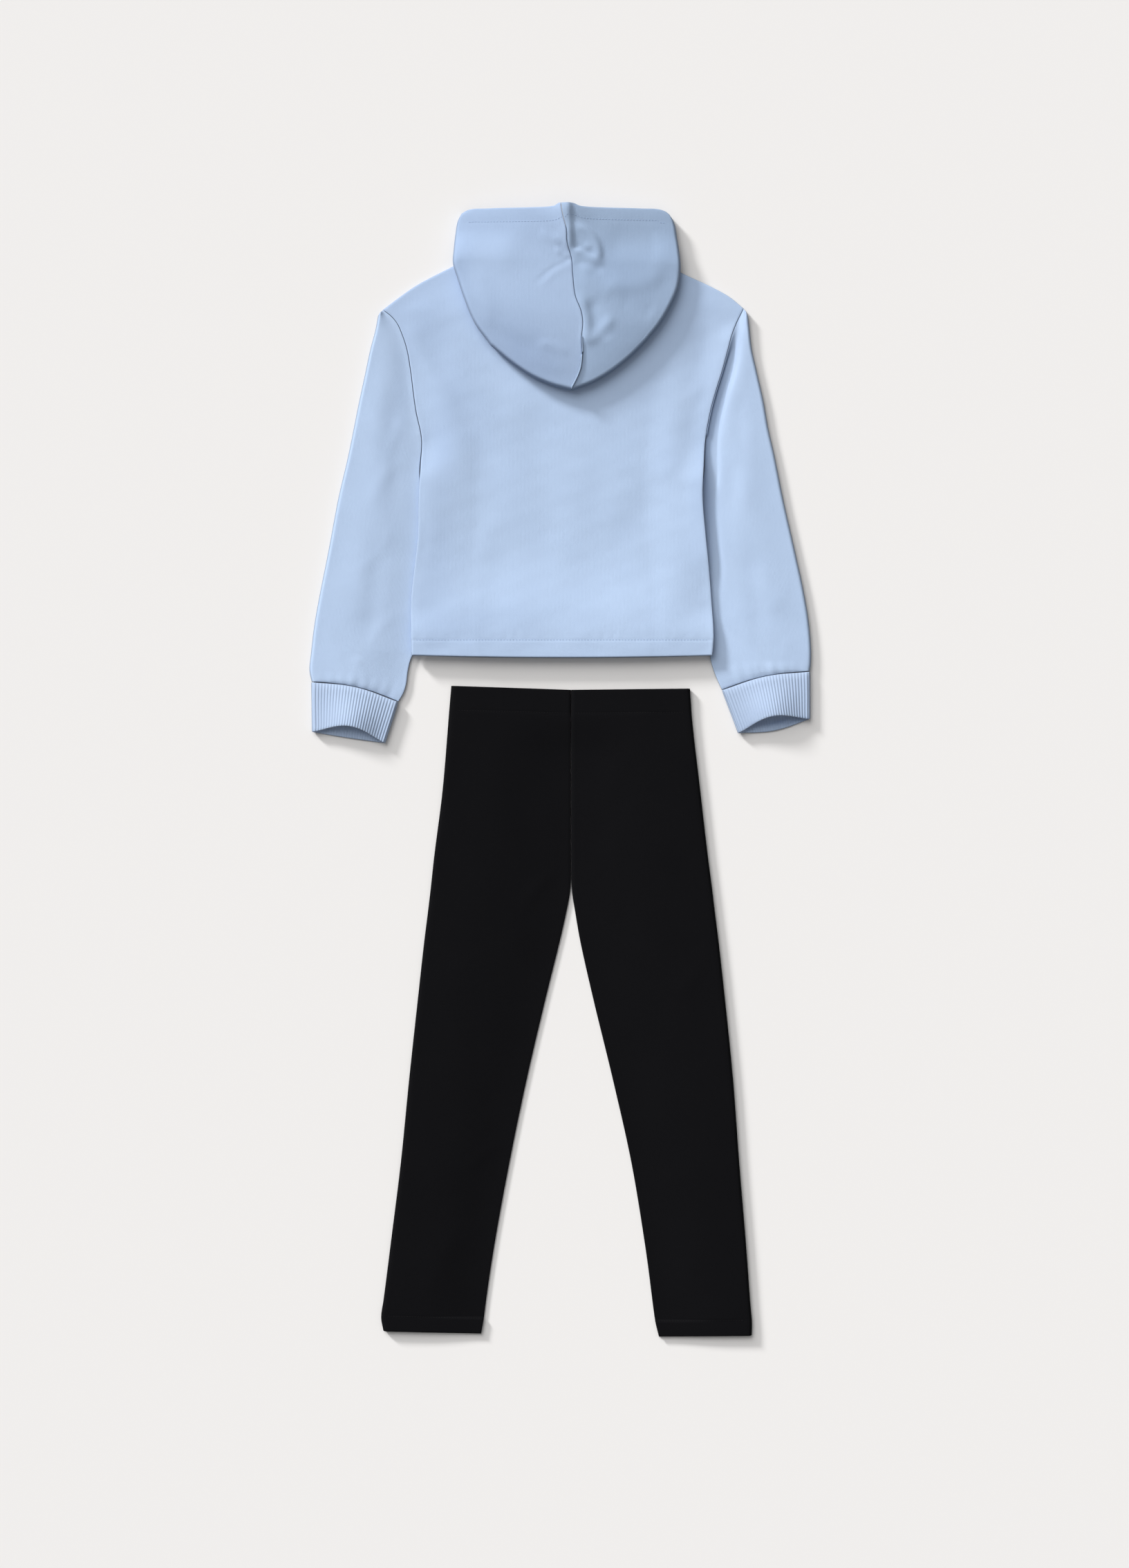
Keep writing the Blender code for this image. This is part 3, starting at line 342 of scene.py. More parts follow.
def knitLook(name, knit):
    # Knitted cloth. A stitch is a V: row = course fraction + half the distance from the wale's middle,
    # its height sin(pi row) x (1 - distance^4). Soft nap noise and slow mottling lie over it. Painted shade
    # darkens the colour where the cloth turns down steeply, and more painted shade from the oval spots mixes
    # it towards a shade tone.
    look, tree, shader = newLook(name, {"Specular IOR Level": knit["shine"], "Sheen Weight": knit["sheen"],
                                        "Sheen Roughness": 0.5})
    place = addNode(tree, "ShaderNodeTexCoord", {}).outputs["UV"]
    split = addNode(tree, "ShaderNodeSeparateXYZ", {"Vector": place})
    wale = maths(tree, "FRACT", maths(tree, "MULTIPLY", split.outputs[0], 1000 / knit["wale"]))
    side = maths(tree, "MULTIPLY", maths(tree, "ABSOLUTE", maths(tree, "SUBTRACT", wale, 0.5)), 2.0)
    row = maths(tree, "FRACT", addUp(tree, ((split.outputs[1], 1000 / knit["course"]), (side, 0.5))))
    loop = maths(tree, "SINE", maths(tree, "MULTIPLY", row, math.pi))
    loop = maths(tree, "MULTIPLY", loop, maths(tree, "SUBTRACT", 1.0, maths(tree, "POWER", side, 4.0)))
    stretched = addNode(tree, "ShaderNodeMapping", {"Vector": place, "Scale": (1.0, 0.45, 1.0)}).outputs[0]
    pile, streak, mottle = (
        addNode(tree, "ShaderNodeTexNoise", {"Vector": stretched if kind == "streak" else place,
                                             "Scale": scale, "Detail": detail,
                                             "Roughness": roughness}).outputs[0]
        for kind, (scale, detail, roughness) in grain.items())
    steep, nap = (addNode(tree, "ShaderNodeAttribute", {}, attribute_name=layer).outputs["Fac"]
                  for layer in ("steepness", "paintedShade"))
    steep = addNode(tree, "ShaderNodeMapRange", {"Value": steep, "From Min": 0.05, "From Max": 0.6,
                                                 "To Max": knit["paintedEdgeShade"]}).outputs[0]
    shade = addUp(tree, ((loop, knit["loopTone"]), (streak, 0.40), (mottle, 0.45)))
    colour = mixColours(tree, shade, (*knit["deep"], 1.0), (*knit["colour"], 1.0))
    # Painted shade: steep cloth is coloured darker, towards a quarter of its deep colour
    colour = mixColours(tree, steep, colour, (*(0.25 * c for c in knit["deep"]), 1.0))
    # Painted shade of the oval spots, mixed towards the shade tone
    colour = mixColours(tree, nap, colour, paintedShadeTone)
    height = addUp(tree, ((loop, knit["knit"]), (pile, knit["nap"] * 0.25), (streak, knit["nap"] * 0.4)))
    bump = addNode(tree, "ShaderNodeBump", {"Height": height, "Strength": 0.8, "Distance": 0.001})
    tree.links.new(colour, shader.inputs["Base Color"])
    tree.links.new(addUp(tree, ((pile, 0.1),), knit["roughness"] - 0.05), shader.inputs["Roughness"])
    tree.links.new(bump.outputs[0], shader.inputs["Normal"])
    return look


def threadLook(name, colour, twist=2600.0):
    # Sewing thread: fine slanting bands for its twist
    look, tree, shader = newLook(name, {"Roughness": 0.6, "Specular IOR Level": 0.2})
    place = addNode(tree, "ShaderNodeTexCoord", {}).outputs["Object"]
    band = addNode(tree, "ShaderNodeTexWave", {"Vector": place, "Scale": twist, "Distortion": 1.5},
                   bands_direction="DIAGONAL").outputs[0]
    colour = mixColours(tree, band, (*(c * 0.8 for c in colour), 1.0), (*colour, 1.0))
    bump = addNode(tree, "ShaderNodeBump", {"Height": band, "Strength": 0.5, "Distance": 0.0001})
    tree.links.new(colour, shader.inputs["Base Color"])
    tree.links.new(bump.outputs[0], shader.inputs["Normal"])
    return look


fleeceLook = knitLook("light blue fleece", fleeceSet)
hoodLeftPaintedShadeLook = knitLook("light blue fleece painted in shade, the hood's left half", hoodPaintedShadeSet)
# Painted shade: the hood's right half is coloured darker still, for the shade on its side away from the light
hoodRightPaintedShadeLook = knitLook("light blue fleece of the hood's right half",
                    dict(hoodPaintedShadeSet, colour=(0.355, 0.465, 0.640), deep=(0.320, 0.425, 0.600)))
ribLook = knitLook("light blue rib", ribSet)
jerseyLook = knitLook("black jersey", jerseySet)
blueThread = threadLook("light blue thread", (0.36, 0.48, 0.69))
blackThread = threadLook("black thread", (0.008, 0.008, 0.009))
print("finishes ready")


# Hoodie body
body = {"hem": 128.0, "hemTurn": 20.0, "hemBow": 2.5, "underarm": 375.0, "lift": 5.6, "liftFlat": 10.0,
        "liftRun": 60.0, "loft": 2.6, "hemOpening": 6.0, "neckMiddle": 8.0, "backNeck": 566.0,
        "frontNeck": 522.0, "backCurve": 2.2, "frontCurve": 3.0, "neckStart": 0.31, "backStep": 2.6,
        "frontStep": 4.2, "shoulderRun": 105, "neckRun": 82, "hemStitching": (-163.0, 168.0),
        "stitchDent": 0.22, "pucker": 0.22, "leftRidge": 0.3, "rightRidge": 3.0, "ridgeWidth": 15.0}
bodySides = {
    "y": (128, 150, 192, 231, 267, 310, 345, 375, 406, 430, 449, 477, 492, 506, 514, 520.5),
    "left": (-167, -167.3, -167.7, -163.8, -159.9, -159.1, -157, -155.8, -162, -165.4, -167.7,
             -172.6, -177.5, -184, -191, -199.7),
    "right": (171.6, 173, 170.8, 167.7, 164, 160.7, 162, 164, 169.5, 176, 182, 189.6, 193.6, 199,
              203, 207),
}
shoulderLine = {
    "way": (0.0, 0.17, 0.34, 0.62, 1.0),
    "left x": (-199.7, -179.4, -159.9, -120.9, -74.0),
    "left y": (520.5, 535.9, 549.1, 569.4, 594.0),
    "right x": (207.0, 191.1, 171.6, 138.1, 89.5),
    "right y": (522.0, 535.1, 546.0, 561.6, 587.0),
}
# Creases: from x, y, to x, y, bow, half width, height, lean
backCreases = (
    (-150, 480, -78, 348, 0, 17, -1.3, 0),
    (118, 330, 60, 250, 0, 20, -0.6, 0),
    (-118, 300, -150, 215, 0, 15, -0.5, 0),
    (20, 330, -14, 190, 0, 22, 0.35, 0),
    (-168, 505, -120, 420, 6, 9, 0.7, 0.3),
    (-142, 376, -104, 338, -4, 10, 0.2, 0.2),
    (150, 372, 116, 330, 4, 10, 0.25, -0.2),
    (176, 500, 150, 420, -5, 9, 0.6, 0),
    (-60, 300, -104, 176, 10, 14, 0.4, 0.2),
    (96, 210, 128, 152, 4, 10, 0.5, 0),
    (-130, 190, -92, 150, -3, 8, 0.4, 0),
    (40, 420, 66, 340, 8, 16, 0.4, 0),
    (-40, 400, -20, 300, -6, 18, -0.4, 0),
)

# Painted shade, spots where shade is painted into the colour: middle x, y, half length, half width, turn in
# degrees, depth
backPaintedShadeSpots = (
    (-150, 520, 75, 45, 35, 0.13),
    (150, 525, 70, 40, -30, 0.06),
    (-112, 425, 95, 32, -62, 0.09),
    (112, 440, 80, 30, 60, 0.04),
    (0, 400, 80, 40, 0, 0.02),
    (-142, 225, 80, 26, 85, 0.10),
    (-138, 375, 60, 22, 80, 0.09),
    (158, 350, 110, 13, 88, 0.09),
    (-105, 160, 75, 26, 8, 0.09),
    (-60, 175, 120, 30, 0, 0.03),
    (-128, 358, 30, 17, 80, 0.07),
    (121, 352, 28, 18, 90, 0.05),
)
# Painted shade on the sleeves, the hood's halves and the cuffs, deepest in the right sleeve's gutter beside
# the body and in the right cuff's mouth
sleevePaintedShadeSpots = {
    -1: ((-178, 420, 90, 14, 76, 0.05),),
    1: ((176, 415, 75, 8, 77, 0.36), (166, 310, 60, 7.5, 92, 0.36)),
}
hoodPaintedShadeSpots = {
    -1: ((-40, 468, 72, 34, -35, 0.19), (-116, 560, 60, 16, 85, 0.10), (-60, 615, 60, 22, 0, 0.07)),
    1: ((60, 480, 60, 30, 35, 0.06), (70, 560, 60, 40, 0, 0.12), (120, 600, 40, 18, 90, 0.04)),
}
cuffPaintedShadeSpots = {-1: (), 1: ((250, 56, 30, 3.5, 6, 0.5),)}


def sideOf(side):
    # -1 is the left in the picture, 1 the right
    return "left" if side < 0 else "right"


def shoulderPoints(side, ways):
    # The shoulder line in plan, from the shoulder point (way 0) to the neck point (way 1)
    rows = [shoulderLine[sideOf(side) + axis] for axis in (" x", " y")]
    return np.stack([through(shoulderLine["way"], row, ways) for row in rows], axis=1)


def neckPoints(side, ways, middleY, power):
    # Half a neckline, from its middle (way 0) to the neck point (way 1): y rises with way to a power
    middle, (x, y) = body["neckMiddle"], shoulderPoints(side, [1.0])[0]
    return np.stack([middle + (x - middle) * ways, middleY + (y - middleY) * ways**power], axis=1)


def topLine(x):
    # y of the shoulders and the back neckline over each x
    ways = np.linspace(0, 1, 21)
    neck = [neckPoints(side, ways, body["backNeck"], body["backCurve"]) for side in (-1, 1)]
    neck = np.concatenate([neck[0][::-1][1:], neck[1][1:-1]])
    line = np.concatenate([shoulderPoints(-1, ways), neck, shoulderPoints(1, ways)[::-1]])
    return np.interp(x, line[:, 0], line[:, 1])


def sideDistance(x, y):
    # Distance in x to the nearer side edge of the body
    left = through(bodySides["y"], bodySides["left"], y)
    right = through(bodySides["y"], bodySides["right"], y)
    return np.minimum(x - left, right - x)


def bodyLift(x, y):
    # The side edges rise over the sleeves tucked beneath them
    out = 1.0 - smooth((sideDistance(x, y) - body["liftFlat"]) / body["liftRun"])
    return body["lift"] * out * smooth((body["underarm"] - y) / 52.0)


def panelWall(y):
    # Two thicknesses at the turned hem, one above it
    return cloth["fleece"] * (1.0 + smooth((body["hem"] + body["hemTurn"] + 1.5 - y) / 1.5))


def hemDent(x, y):
    # The hem's stitching draws the cloth in along its line, unevenly
    off = y - (body["hem"] + body["hemTurn"])
    pucker = 0.55 + 0.45 * np.sin(x / 2.3 + 1.3 * np.sin(x / 9.0)) * np.sin(x / 31.0)
    return -body["stitchDent"] * bell(off / 1.7) - body["pucker"] * pucker * bell((off - 4) / 4.0)


def seamRidge(x, y):
    # The armhole seams' turnings lift the body's edge, more on the right, where the side seam is lifted too
    right = x > body["neckMiddle"]
    armhole = np.where(right, body["rightRidge"], body["leftRidge"])
    armhole = armhole * smooth((y - 345.0) / 40.0) * smooth((512.0 - y) / 30.0)
    side = right * body["rightRidge"] * smooth((y - 205.0) / 50.0) * smooth((430.0 - y) / 40.0)
    return np.maximum(armhole, side)


def backHeight(x, y, fine=True):
    # Height of the back's outer face: the edges' lift, both walls and their gap, the loft between them,
    # the hem's slight opening and, when fine, the small creases, the stitching's dent and the seams' ridge
    side = sideDistance(x, y)
    inside = smooth(side / 60.0) * smooth((topLine(x) - y) / 60.0)
    aboveHem = 0.35 + 0.65 * smooth((y - body["hem"]) / 60.0)
    loft = body["loft"] * inside * aboveHem + creaseHeight(x, y, backCreases[:4]) * inside
    hem = smooth((body["hem"] + 60.0 - y) / 40.0)
    hem = hem + (smooth((body["hem"] + 130.0 - y) / 115.0) - hem) * smooth((side - 12.0) / 45.0)
    wall = 2 * cloth["fleece"] * (1 + np.maximum(hem, panelWall(y) / cloth["fleece"] - 1.0))
    opening = body["hemOpening"] * smooth((side - 8.0) / 70.0) * smooth((body["hem"] + 110.0 - y) / 110.0)
    height = bodyLift(x, y) + wall + cloth["gap"] + np.maximum(loft, 0.0) + opening
    if fine:
        calm = smooth(side / 9.0) * smooth((topLine(x) - y) / 25.0)
        wave = creaseHeight(x, y, backCreases[4:])
        wave = wave + unevenness(x, y, 85.0, 0.35) + unevenness(x, y, 31.0, 0.09, 2.0)
        height = height + wave * calm * smooth((y - body["hem"]) / 12.0) + hemDent(x, y)
        height = height + seamRidge(x, y) * bell(side / body["ridgeWidth"])
        early = smooth((470.0 - y) / 135.0) - smooth((body["underarm"] - y) / 52.0)
        out = 1.0 - smooth((side - body["liftFlat"]) / body["liftRun"])
        height = height + body["lift"] * np.maximum(early, 0.0) * out * smooth((side - 2.0) / 46.0)
    return height


def armhole(side, levels):
    # The armhole seam in plan at heights from the underarm up to the shoulder point
    key = sideOf(side)
    x = through(bodySides["y"], bodySides[key], levels)
    tipY = shoulderPoints(side, [0.0])[0, 1]
    rise = (tipY - bodySides["y"][-1]) * np.clip((levels - 514.0) / 6.5, 0, 1)
    return np.stack([x, levels + rise], axis=1)


def bodyNet(middleY, power, step):
    # Plan of a panel: straight rows up to the underarms, then a patch between the armholes, the shoulders
    # and the neckline
    sideWays = np.linspace(0, 1, math.ceil(body["shoulderRun"] / step), endpoint=False)
    neckWays = np.linspace(1, 0, math.ceil(body["neckRun"] / step))
    half = np.concatenate([sideWays * body["neckStart"],
                           body["neckStart"] + (0.5 - body["neckStart"]) * (1 - neckWays)])
    across = np.concatenate([half, 1 - half[-2::-1]])
    neck = [neckPoints(side, neckWays, middleY, power) for side in (-1, 1)]
    top = np.concatenate([shoulderPoints(-1, sideWays), neck[0], neck[1][-2::-1],
                          shoulderPoints(1, sideWays[::-1])])
    hem, turned = body["hem"], body["hem"] + body["hemTurn"]
    low = np.concatenate([finer((hem, turned - 4), step), finer((turned - 3, turned + 4), 1.0),
                          finer((turned + 6, body["underarm"]), step)[:-1]])
    edges = [np.stack([through(bodySides["y"], bodySides[key], low), low], axis=1)
             for key in ("left", "right")]
    lowRows = edges[0][:, None] + (edges[1] - edges[0])[:, None] * across[None, :, None]
    bow = body["hemBow"] * ((lowRows[..., 0] - 5.0) / 170.0)**2 * (1 - smooth((low - hem) / 18.0))[:, None]
    lowRows[..., 1] += bow
    levels = finer((body["underarm"], bodySides["y"][-1]), step * 0.72)
    first, last = armhole(-1, levels), armhole(1, levels)
    down = (levels - levels[0]) / (levels[-1] - levels[0])
    start = first[0] + (last[0] - first[0]) * across[:, None]
    return np.concatenate([lowRows, patch(start, top, first, last, across, down, fade=5.0)])


def makePanel(name, back):
    # The back's outer face lies over the front and faces up; the front's lies on the floor and faces down
    which = "back" if back else "front"
    net = bodyNet(*(body[which + part] for part in ("Neck", "Curve", "Step")))
    x, y = net[..., 0], net[..., 1]
    z = backHeight(x, y) if back else bodyLift(x, y)
    points = np.stack([x, y, z], axis=-1).reshape(-1, 3)
    quads = gridQuads(*net.shape[:2], turn=not back)
    edge = np.where(points[:, 1] > body["hem"] + 6, 0.6, 1.1)
    return makeShell(name, points, quads, points[:, :2], panelWall(y).reshape(-1), fleeceLook, edge=edge,
                     spots=backPaintedShadeSpots if back else ())


def makeHemStitches():
    # One row across the back, on its outer face where the turned hem ends
    x = np.linspace(*body["hemStitching"], 500)
    y = np.full_like(x, body["hem"] + body["hemTurn"])
    line = np.stack([x, y, backHeight(x, y)], axis=1)
    return makeStitches("hemStitches", line, blueThread)


backPanel = makePanel("backPanel", True)
frontPanel = makePanel("frontPanel", False)
hemStitches = makeHemStitches()
print("body panels ready")


# Sleeves
sleeve = {"fold": 3.8, "acrossUpper": 60, "acrossFold": 9, "acrossLower": 26, "step": 2.3, "puff": 0.5,
          "seamDent": 0.8, "gather": 0.2, "gutter": 4.6, "gutterWidth": 6.5}
sleeveOuter = {
    "y": (514, 498, 477, 449, 418, 387, 356, 309, 247, 200, 165, 132, 114, 101),
    "left": (-205, -208, -213.5, -219.5, -226.2, -232.4, -238.7, -249.6, -261.3, -270.7, -276.9,
             -280.8, -282.4, -280),
    "right": (212, 213.7, 216.1, 222.3, 229.3, 234.8, 241.8, 251.2, 265.2, 275.3, 280.8, 283.1,
              282.8, 281.6),
}
sleeveTuck = {"y": (375, 356, 335, 305, 265, 225, 190, 160, 135),
              "in": (-0.3, -0.5, -0.6, 4.5, 7.0, 7.0, 6.5, 5.0, 3.0)}
sleeveInner = {"y": (135, 127, 114, 98, 88, 79), "left": (-164.1, -168.0, -171.2, -173.3, -176.5, -182),
               "right": (169.0, 169.3, 171.2, 175.5, 180.0, 184)}
sleeveSections = {
    "inner": (520.5, 514, 506, 492, 477, 449, 430, 406, 375, 356, 335, 305, 265, 225, 190, 160, 135, 112),
    "outer": (514, 506, 497, 484, 470, 446, 427, 403, 373, 354, 334, 304, 264, 225, 191, 162, 138, 119),
    "rise": (0, 0.1, 0.2, 0.5, 0.8, 1.3, 1.6, 1.8, 2.0, 2.1, 2.1, 2.1, 2.1, 2.1, 2.1, 2.1, 2.0, 1.9),
}
sleeveCreases = (
    (-190, 420, -186, 290, 0, 13, -0.9, 0),
    (-206, 250, -215, 150, 0, 13, -0.9, 0),
    (205, 430, 192, 300, 0, 12, -0.9, 0),
    (214, 240, 226, 160, 0, 13, -0.9, 0),
    (-230, 128, -222, 104, 0, 7, 0.48, 0),
    (-174, 400, -196, 330, 5, 8, 0.42, 0),
    (-178, 350, -214, 300, 5, 9, 0.36, 0),
    (-190, 270, -226, 226, -4, 8, 0.3, 0),
    (-256, 214, -226, 176, 4, 9, 0.3, 0),
    (-186, 176, -214, 142, 3, 7, 0.3, 0),
    (-262, 160, -246, 130, 3, 6, 0.27, 0),
    (178, 402, 200, 352, -5, 8, 0.42, 0),
    (182, 360, 214, 300, -5, 9, 0.36, 0),
    (196, 268, 234, 220, 4, 8, 0.3, 0),
    (262, 226, 236, 180, -4, 9, 0.3, 0),
    (190, 180, 216, 150, -3, 7, 0.3, 0),
    (224, 119, 229, 106, 0, 2.0, -0.35, 0),  # a small pucker at the cuff
    (262, 150, 252, 128, 3, 6, 0.24, 0),
)
cuffs = {
    "left": {"seam outer": (-280.0, 101.2), "seam inner": (-182.2, 78.9), "seam bow": 5.5,
             "mouth outer": (-279.2, 44.5), "mouth inner": (-197.2, 32.0), "upper bow": 12.5,
             "lower bow": -0.5},
    "right": {"seam outer": (281.6, 113.0), "seam inner": (182.6, 92.2), "seam bow": 5.0,
              "mouth outer": (281.6, 59.0), "mouth inner": (201.0, 43.0), "upper bow": 11.0,
              "lower bow": -5.0},
    "ribs": 60, "ribHeight": 0.5, "fold": 3.8, "seamHeight": 9.4, "mouthHeight": 16.5, "depth": 56.0,
    "seamDent": 0.9, "pointsPerRib": 8, "rows": 15,
}


def foldedNet(outer, inner, fold, innerHeight, rise, counts, bow=0.0):
    # A sheet folded along its outer edge, one section for each row of the two edges: the upper layer from
    # its inner edge (z = innerHeight) to the fold, with rise x sin^2 in between, the fold as a half circle,
    # and the lower layer back along z = 0. The bow swings a section's middle sideways in plan.
    across = inner - outer
    width = np.linalg.norm(across, axis=1, keepdims=True)
    across = across / width
    fold, innerHeight, rise, bow = (np.broadcast_to(value, (len(width),))[:, None]
                                    for value in (fold, innerHeight, rise, bow))
    g = np.linspace(1, 0, counts["acrossUpper"])[None]
    turn = np.linspace(0, math.pi, counts["acrossFold"] + 2)[None, 1:-1]
    low = np.linspace(0, 1, counts["acrossLower"])[None]
    top = 2 * fold + (innerHeight - 2 * fold) * smooth(g) + rise * np.sin(math.pi * g)**2
    u = np.concatenate([fold + (width - fold) * g, fold - fold * np.sin(turn), fold + (width - fold) * low],
                       axis=1)
    z = np.concatenate([top, fold + fold * np.cos(turn), np.zeros((len(width), low.size))], axis=1)
    forward = np.stack([-across[:, 1], across[:, 0]], axis=1)
    plan = outer[:, None] + across[:, None] * u[..., None]
    plan = plan + forward[:, None] * (bow * np.sin(math.pi * u / width))[..., None]
    return np.concatenate([plan, z[..., None]], axis=-1)


def tubePlace(net):
    # The cloth's own flat place on a net of sections: distance round from the fold, and distance along
    around = np.concatenate([np.zeros((len(net), 1)),
                             np.cumsum(np.linalg.norm(np.diff(net, axis=1), axis=2), axis=1)], axis=1)
    down = lengthAlong(net[:, net.shape[1] // 2])
    return np.stack([around - around.max() / 2, np.broadcast_to(-down[:, None], around.shape)], axis=-1)


def sleeveNet(side):
    # Sections from the armhole seam's top down to the cuff seam. The inner edge follows the seam, then lies
    # beneath the body, then runs free; both edges bend to the cuff's ends over the last two sections.
    key = sideOf(side)
    joint = cuffs[key]
    innerKnots = np.append(sleeveSections["inner"], joint["seam inner"][1])
    outerKnots = np.append(sleeveSections["outer"], joint["seam outer"][1])
    knots = np.arange(len(innerKnots), dtype=float)
    reach = lengthAlong(np.stack([(innerKnots + outerKnots) / 2, 0 * knots], axis=1))
    row = np.interp(finer(reach, sleeve["step"]), reach, knots)
    innerY, outerY = np.interp(row, knots, innerKnots), np.interp(row, knots, outerKnots)
    seam = armhole(side, innerY[innerY >= body["underarm"]])
    seam = seam + leftNormals(seam) * cloth["gap"] * side
    lowerY = innerY[len(seam):]
    tucked = through(bodySides["y"], bodySides[key], lowerY)
    tucked = tucked - side * through(sleeveTuck["y"], sleeveTuck["in"], lowerY)
    free = through(sleeveInner["y"], sleeveInner[key], lowerY)
    lowerX = np.where(lowerY < sleeveInner["y"][0], free, tucked)
    inner = np.concatenate([seam, np.stack([lowerX, lowerY], axis=1)])
    outer = np.stack([through(sleeveOuter["y"], sleeveOuter[key], outerY), outerY], axis=1)
    near = smooth((row - knots[-3]) / 2)[:, None]
    inner = inner + near * (np.array(joint["seam inner"]) - inner[-1])
    outer = outer + near * (np.array(joint["seam outer"]) - outer[-1])
    rise = np.interp(row, knots, np.append(sleeveSections["rise"], cuffs["seamHeight"] - 2 * sleeve["fold"]))
    bow = np.interp(row, knots[-4:], (0, 0.25, 0.6, 1.0)) * joint["seam bow"]
    return foldedNet(outer, inner, sleeve["fold"], 2 * cloth["fleece"] + cloth["gap"], rise, sleeve,
                     bow=-side * bow)


def makeSleeve(side):
    # The upper layer gets its creases, and gathers and puffs a little where the cuff is sewn on. Beside the
    # body it lies in a gutter on the right, and its armhole seam has the same ridge as the body's.
    net = sleeveNet(side)
    count, fromFold = sleeve["acrossUpper"], np.linspace(1, 0, sleeve["acrossUpper"])[None]
    top = net[:, :count]
    way = np.sin(math.pi * fromFold)
    x, y = top[..., 0].copy(), top[..., 1].copy()
    down = lengthAlong(net[:, count + 4])
    fromCuff = (down[-1] - down)[:, None]
    around = fromFold * 95.0
    gather = np.sin(around / 1.9 + side) + 0.8 * np.sin(around / 2.9 + 1.2) + 0.6 * np.sin(around / 5.3 + 2.0)
    puff = sleeve["puff"] * bell((fromCuff - 4) / 5) - sleeve["seamDent"] * bell(fromCuff / 1.5)
    puff = puff + sleeve["gather"] * gather * bell(fromCuff / 9)
    calm = smooth(fromCuff / 10) * smooth((down / 20)[:, None])
    wave = unevenness(x, y, 60.0, 0.3, 1.0) * calm
    top[..., 2] += creaseHeight(x, y, sleeveCreases) * way + (puff + wave) * way**0.6
    seamX, seamY = x[:, :1], y[:, :1]
    fromSeam = np.linalg.norm(top[..., :2] - top[:, :1, :2], axis=2)
    fromBody = fromSeam - np.interp(seamY, (225, body["underarm"]), (8.0, 0.0))
    gutter = sleeve["gutter"] * smooth((seamY - 200.0) / 60.0) * smooth((500.0 - seamY) / 60.0) * (side > 0)
    top[..., 2] += seamRidge(seamX, seamY) * bell(fromSeam / 4) * (seamY > body["underarm"] + 3.0)
    top[..., 2] -= gutter * bell((fromBody - 6.0) / sleeve["gutterWidth"]) * smooth(fromSeam / 3.0)
    top[..., 2] = np.maximum(top[..., 2], 2 * cloth["fleece"] + cloth["gap"] * (1 - smooth(way / 0.02)))
    quads = gridQuads(*net.shape[:2], turn=side > 0)
    place = tubePlace(net)
    return makeShell(sideOf(side) + "Sleeve", net.reshape(-1, 3), quads, place.reshape(-1, 2),
                     cloth["fleece"], fleeceLook, edge=0.6, spots=sleevePaintedShadeSpots[side])


def ringSection(width, fold, height, count):
    # A flattened knitted tube seen end on, as points evenly along it: a flat lower layer, two half-circle
    # folds and an upper layer that rises to the height in its middle
    g = np.linspace(1, 0, 81)[:-1]
    straight = width - 2 * fold
    turn = np.linspace(0, math.pi, 25)[:-1]
    topU = fold + straight * g
    topZ = 2 * fold + (height - 2 * fold) * np.sin(math.pi * g)**1.6
    outwards, upwards, flat = np.sin(turn), np.cos(turn), np.zeros(len(g))
    u = np.concatenate([topU, fold - fold * outwards, width - topU, width - fold + fold * outwards])
    z = np.concatenate([topZ, fold + fold * upwards, flat, fold - fold * upwards])
    upper = np.concatenate([flat + 1, (1 + upwards) / 2, flat, (1 - upwards) / 2])
    closed = [np.append(line, line[0]) for line in (u, z, upper)]
    length = lengthAlong(np.stack(closed[:2], axis=1))
    at = np.arange(count) / count * length[-1]
    return [np.interp(at, length, line) for line in closed] + [length[-1]]


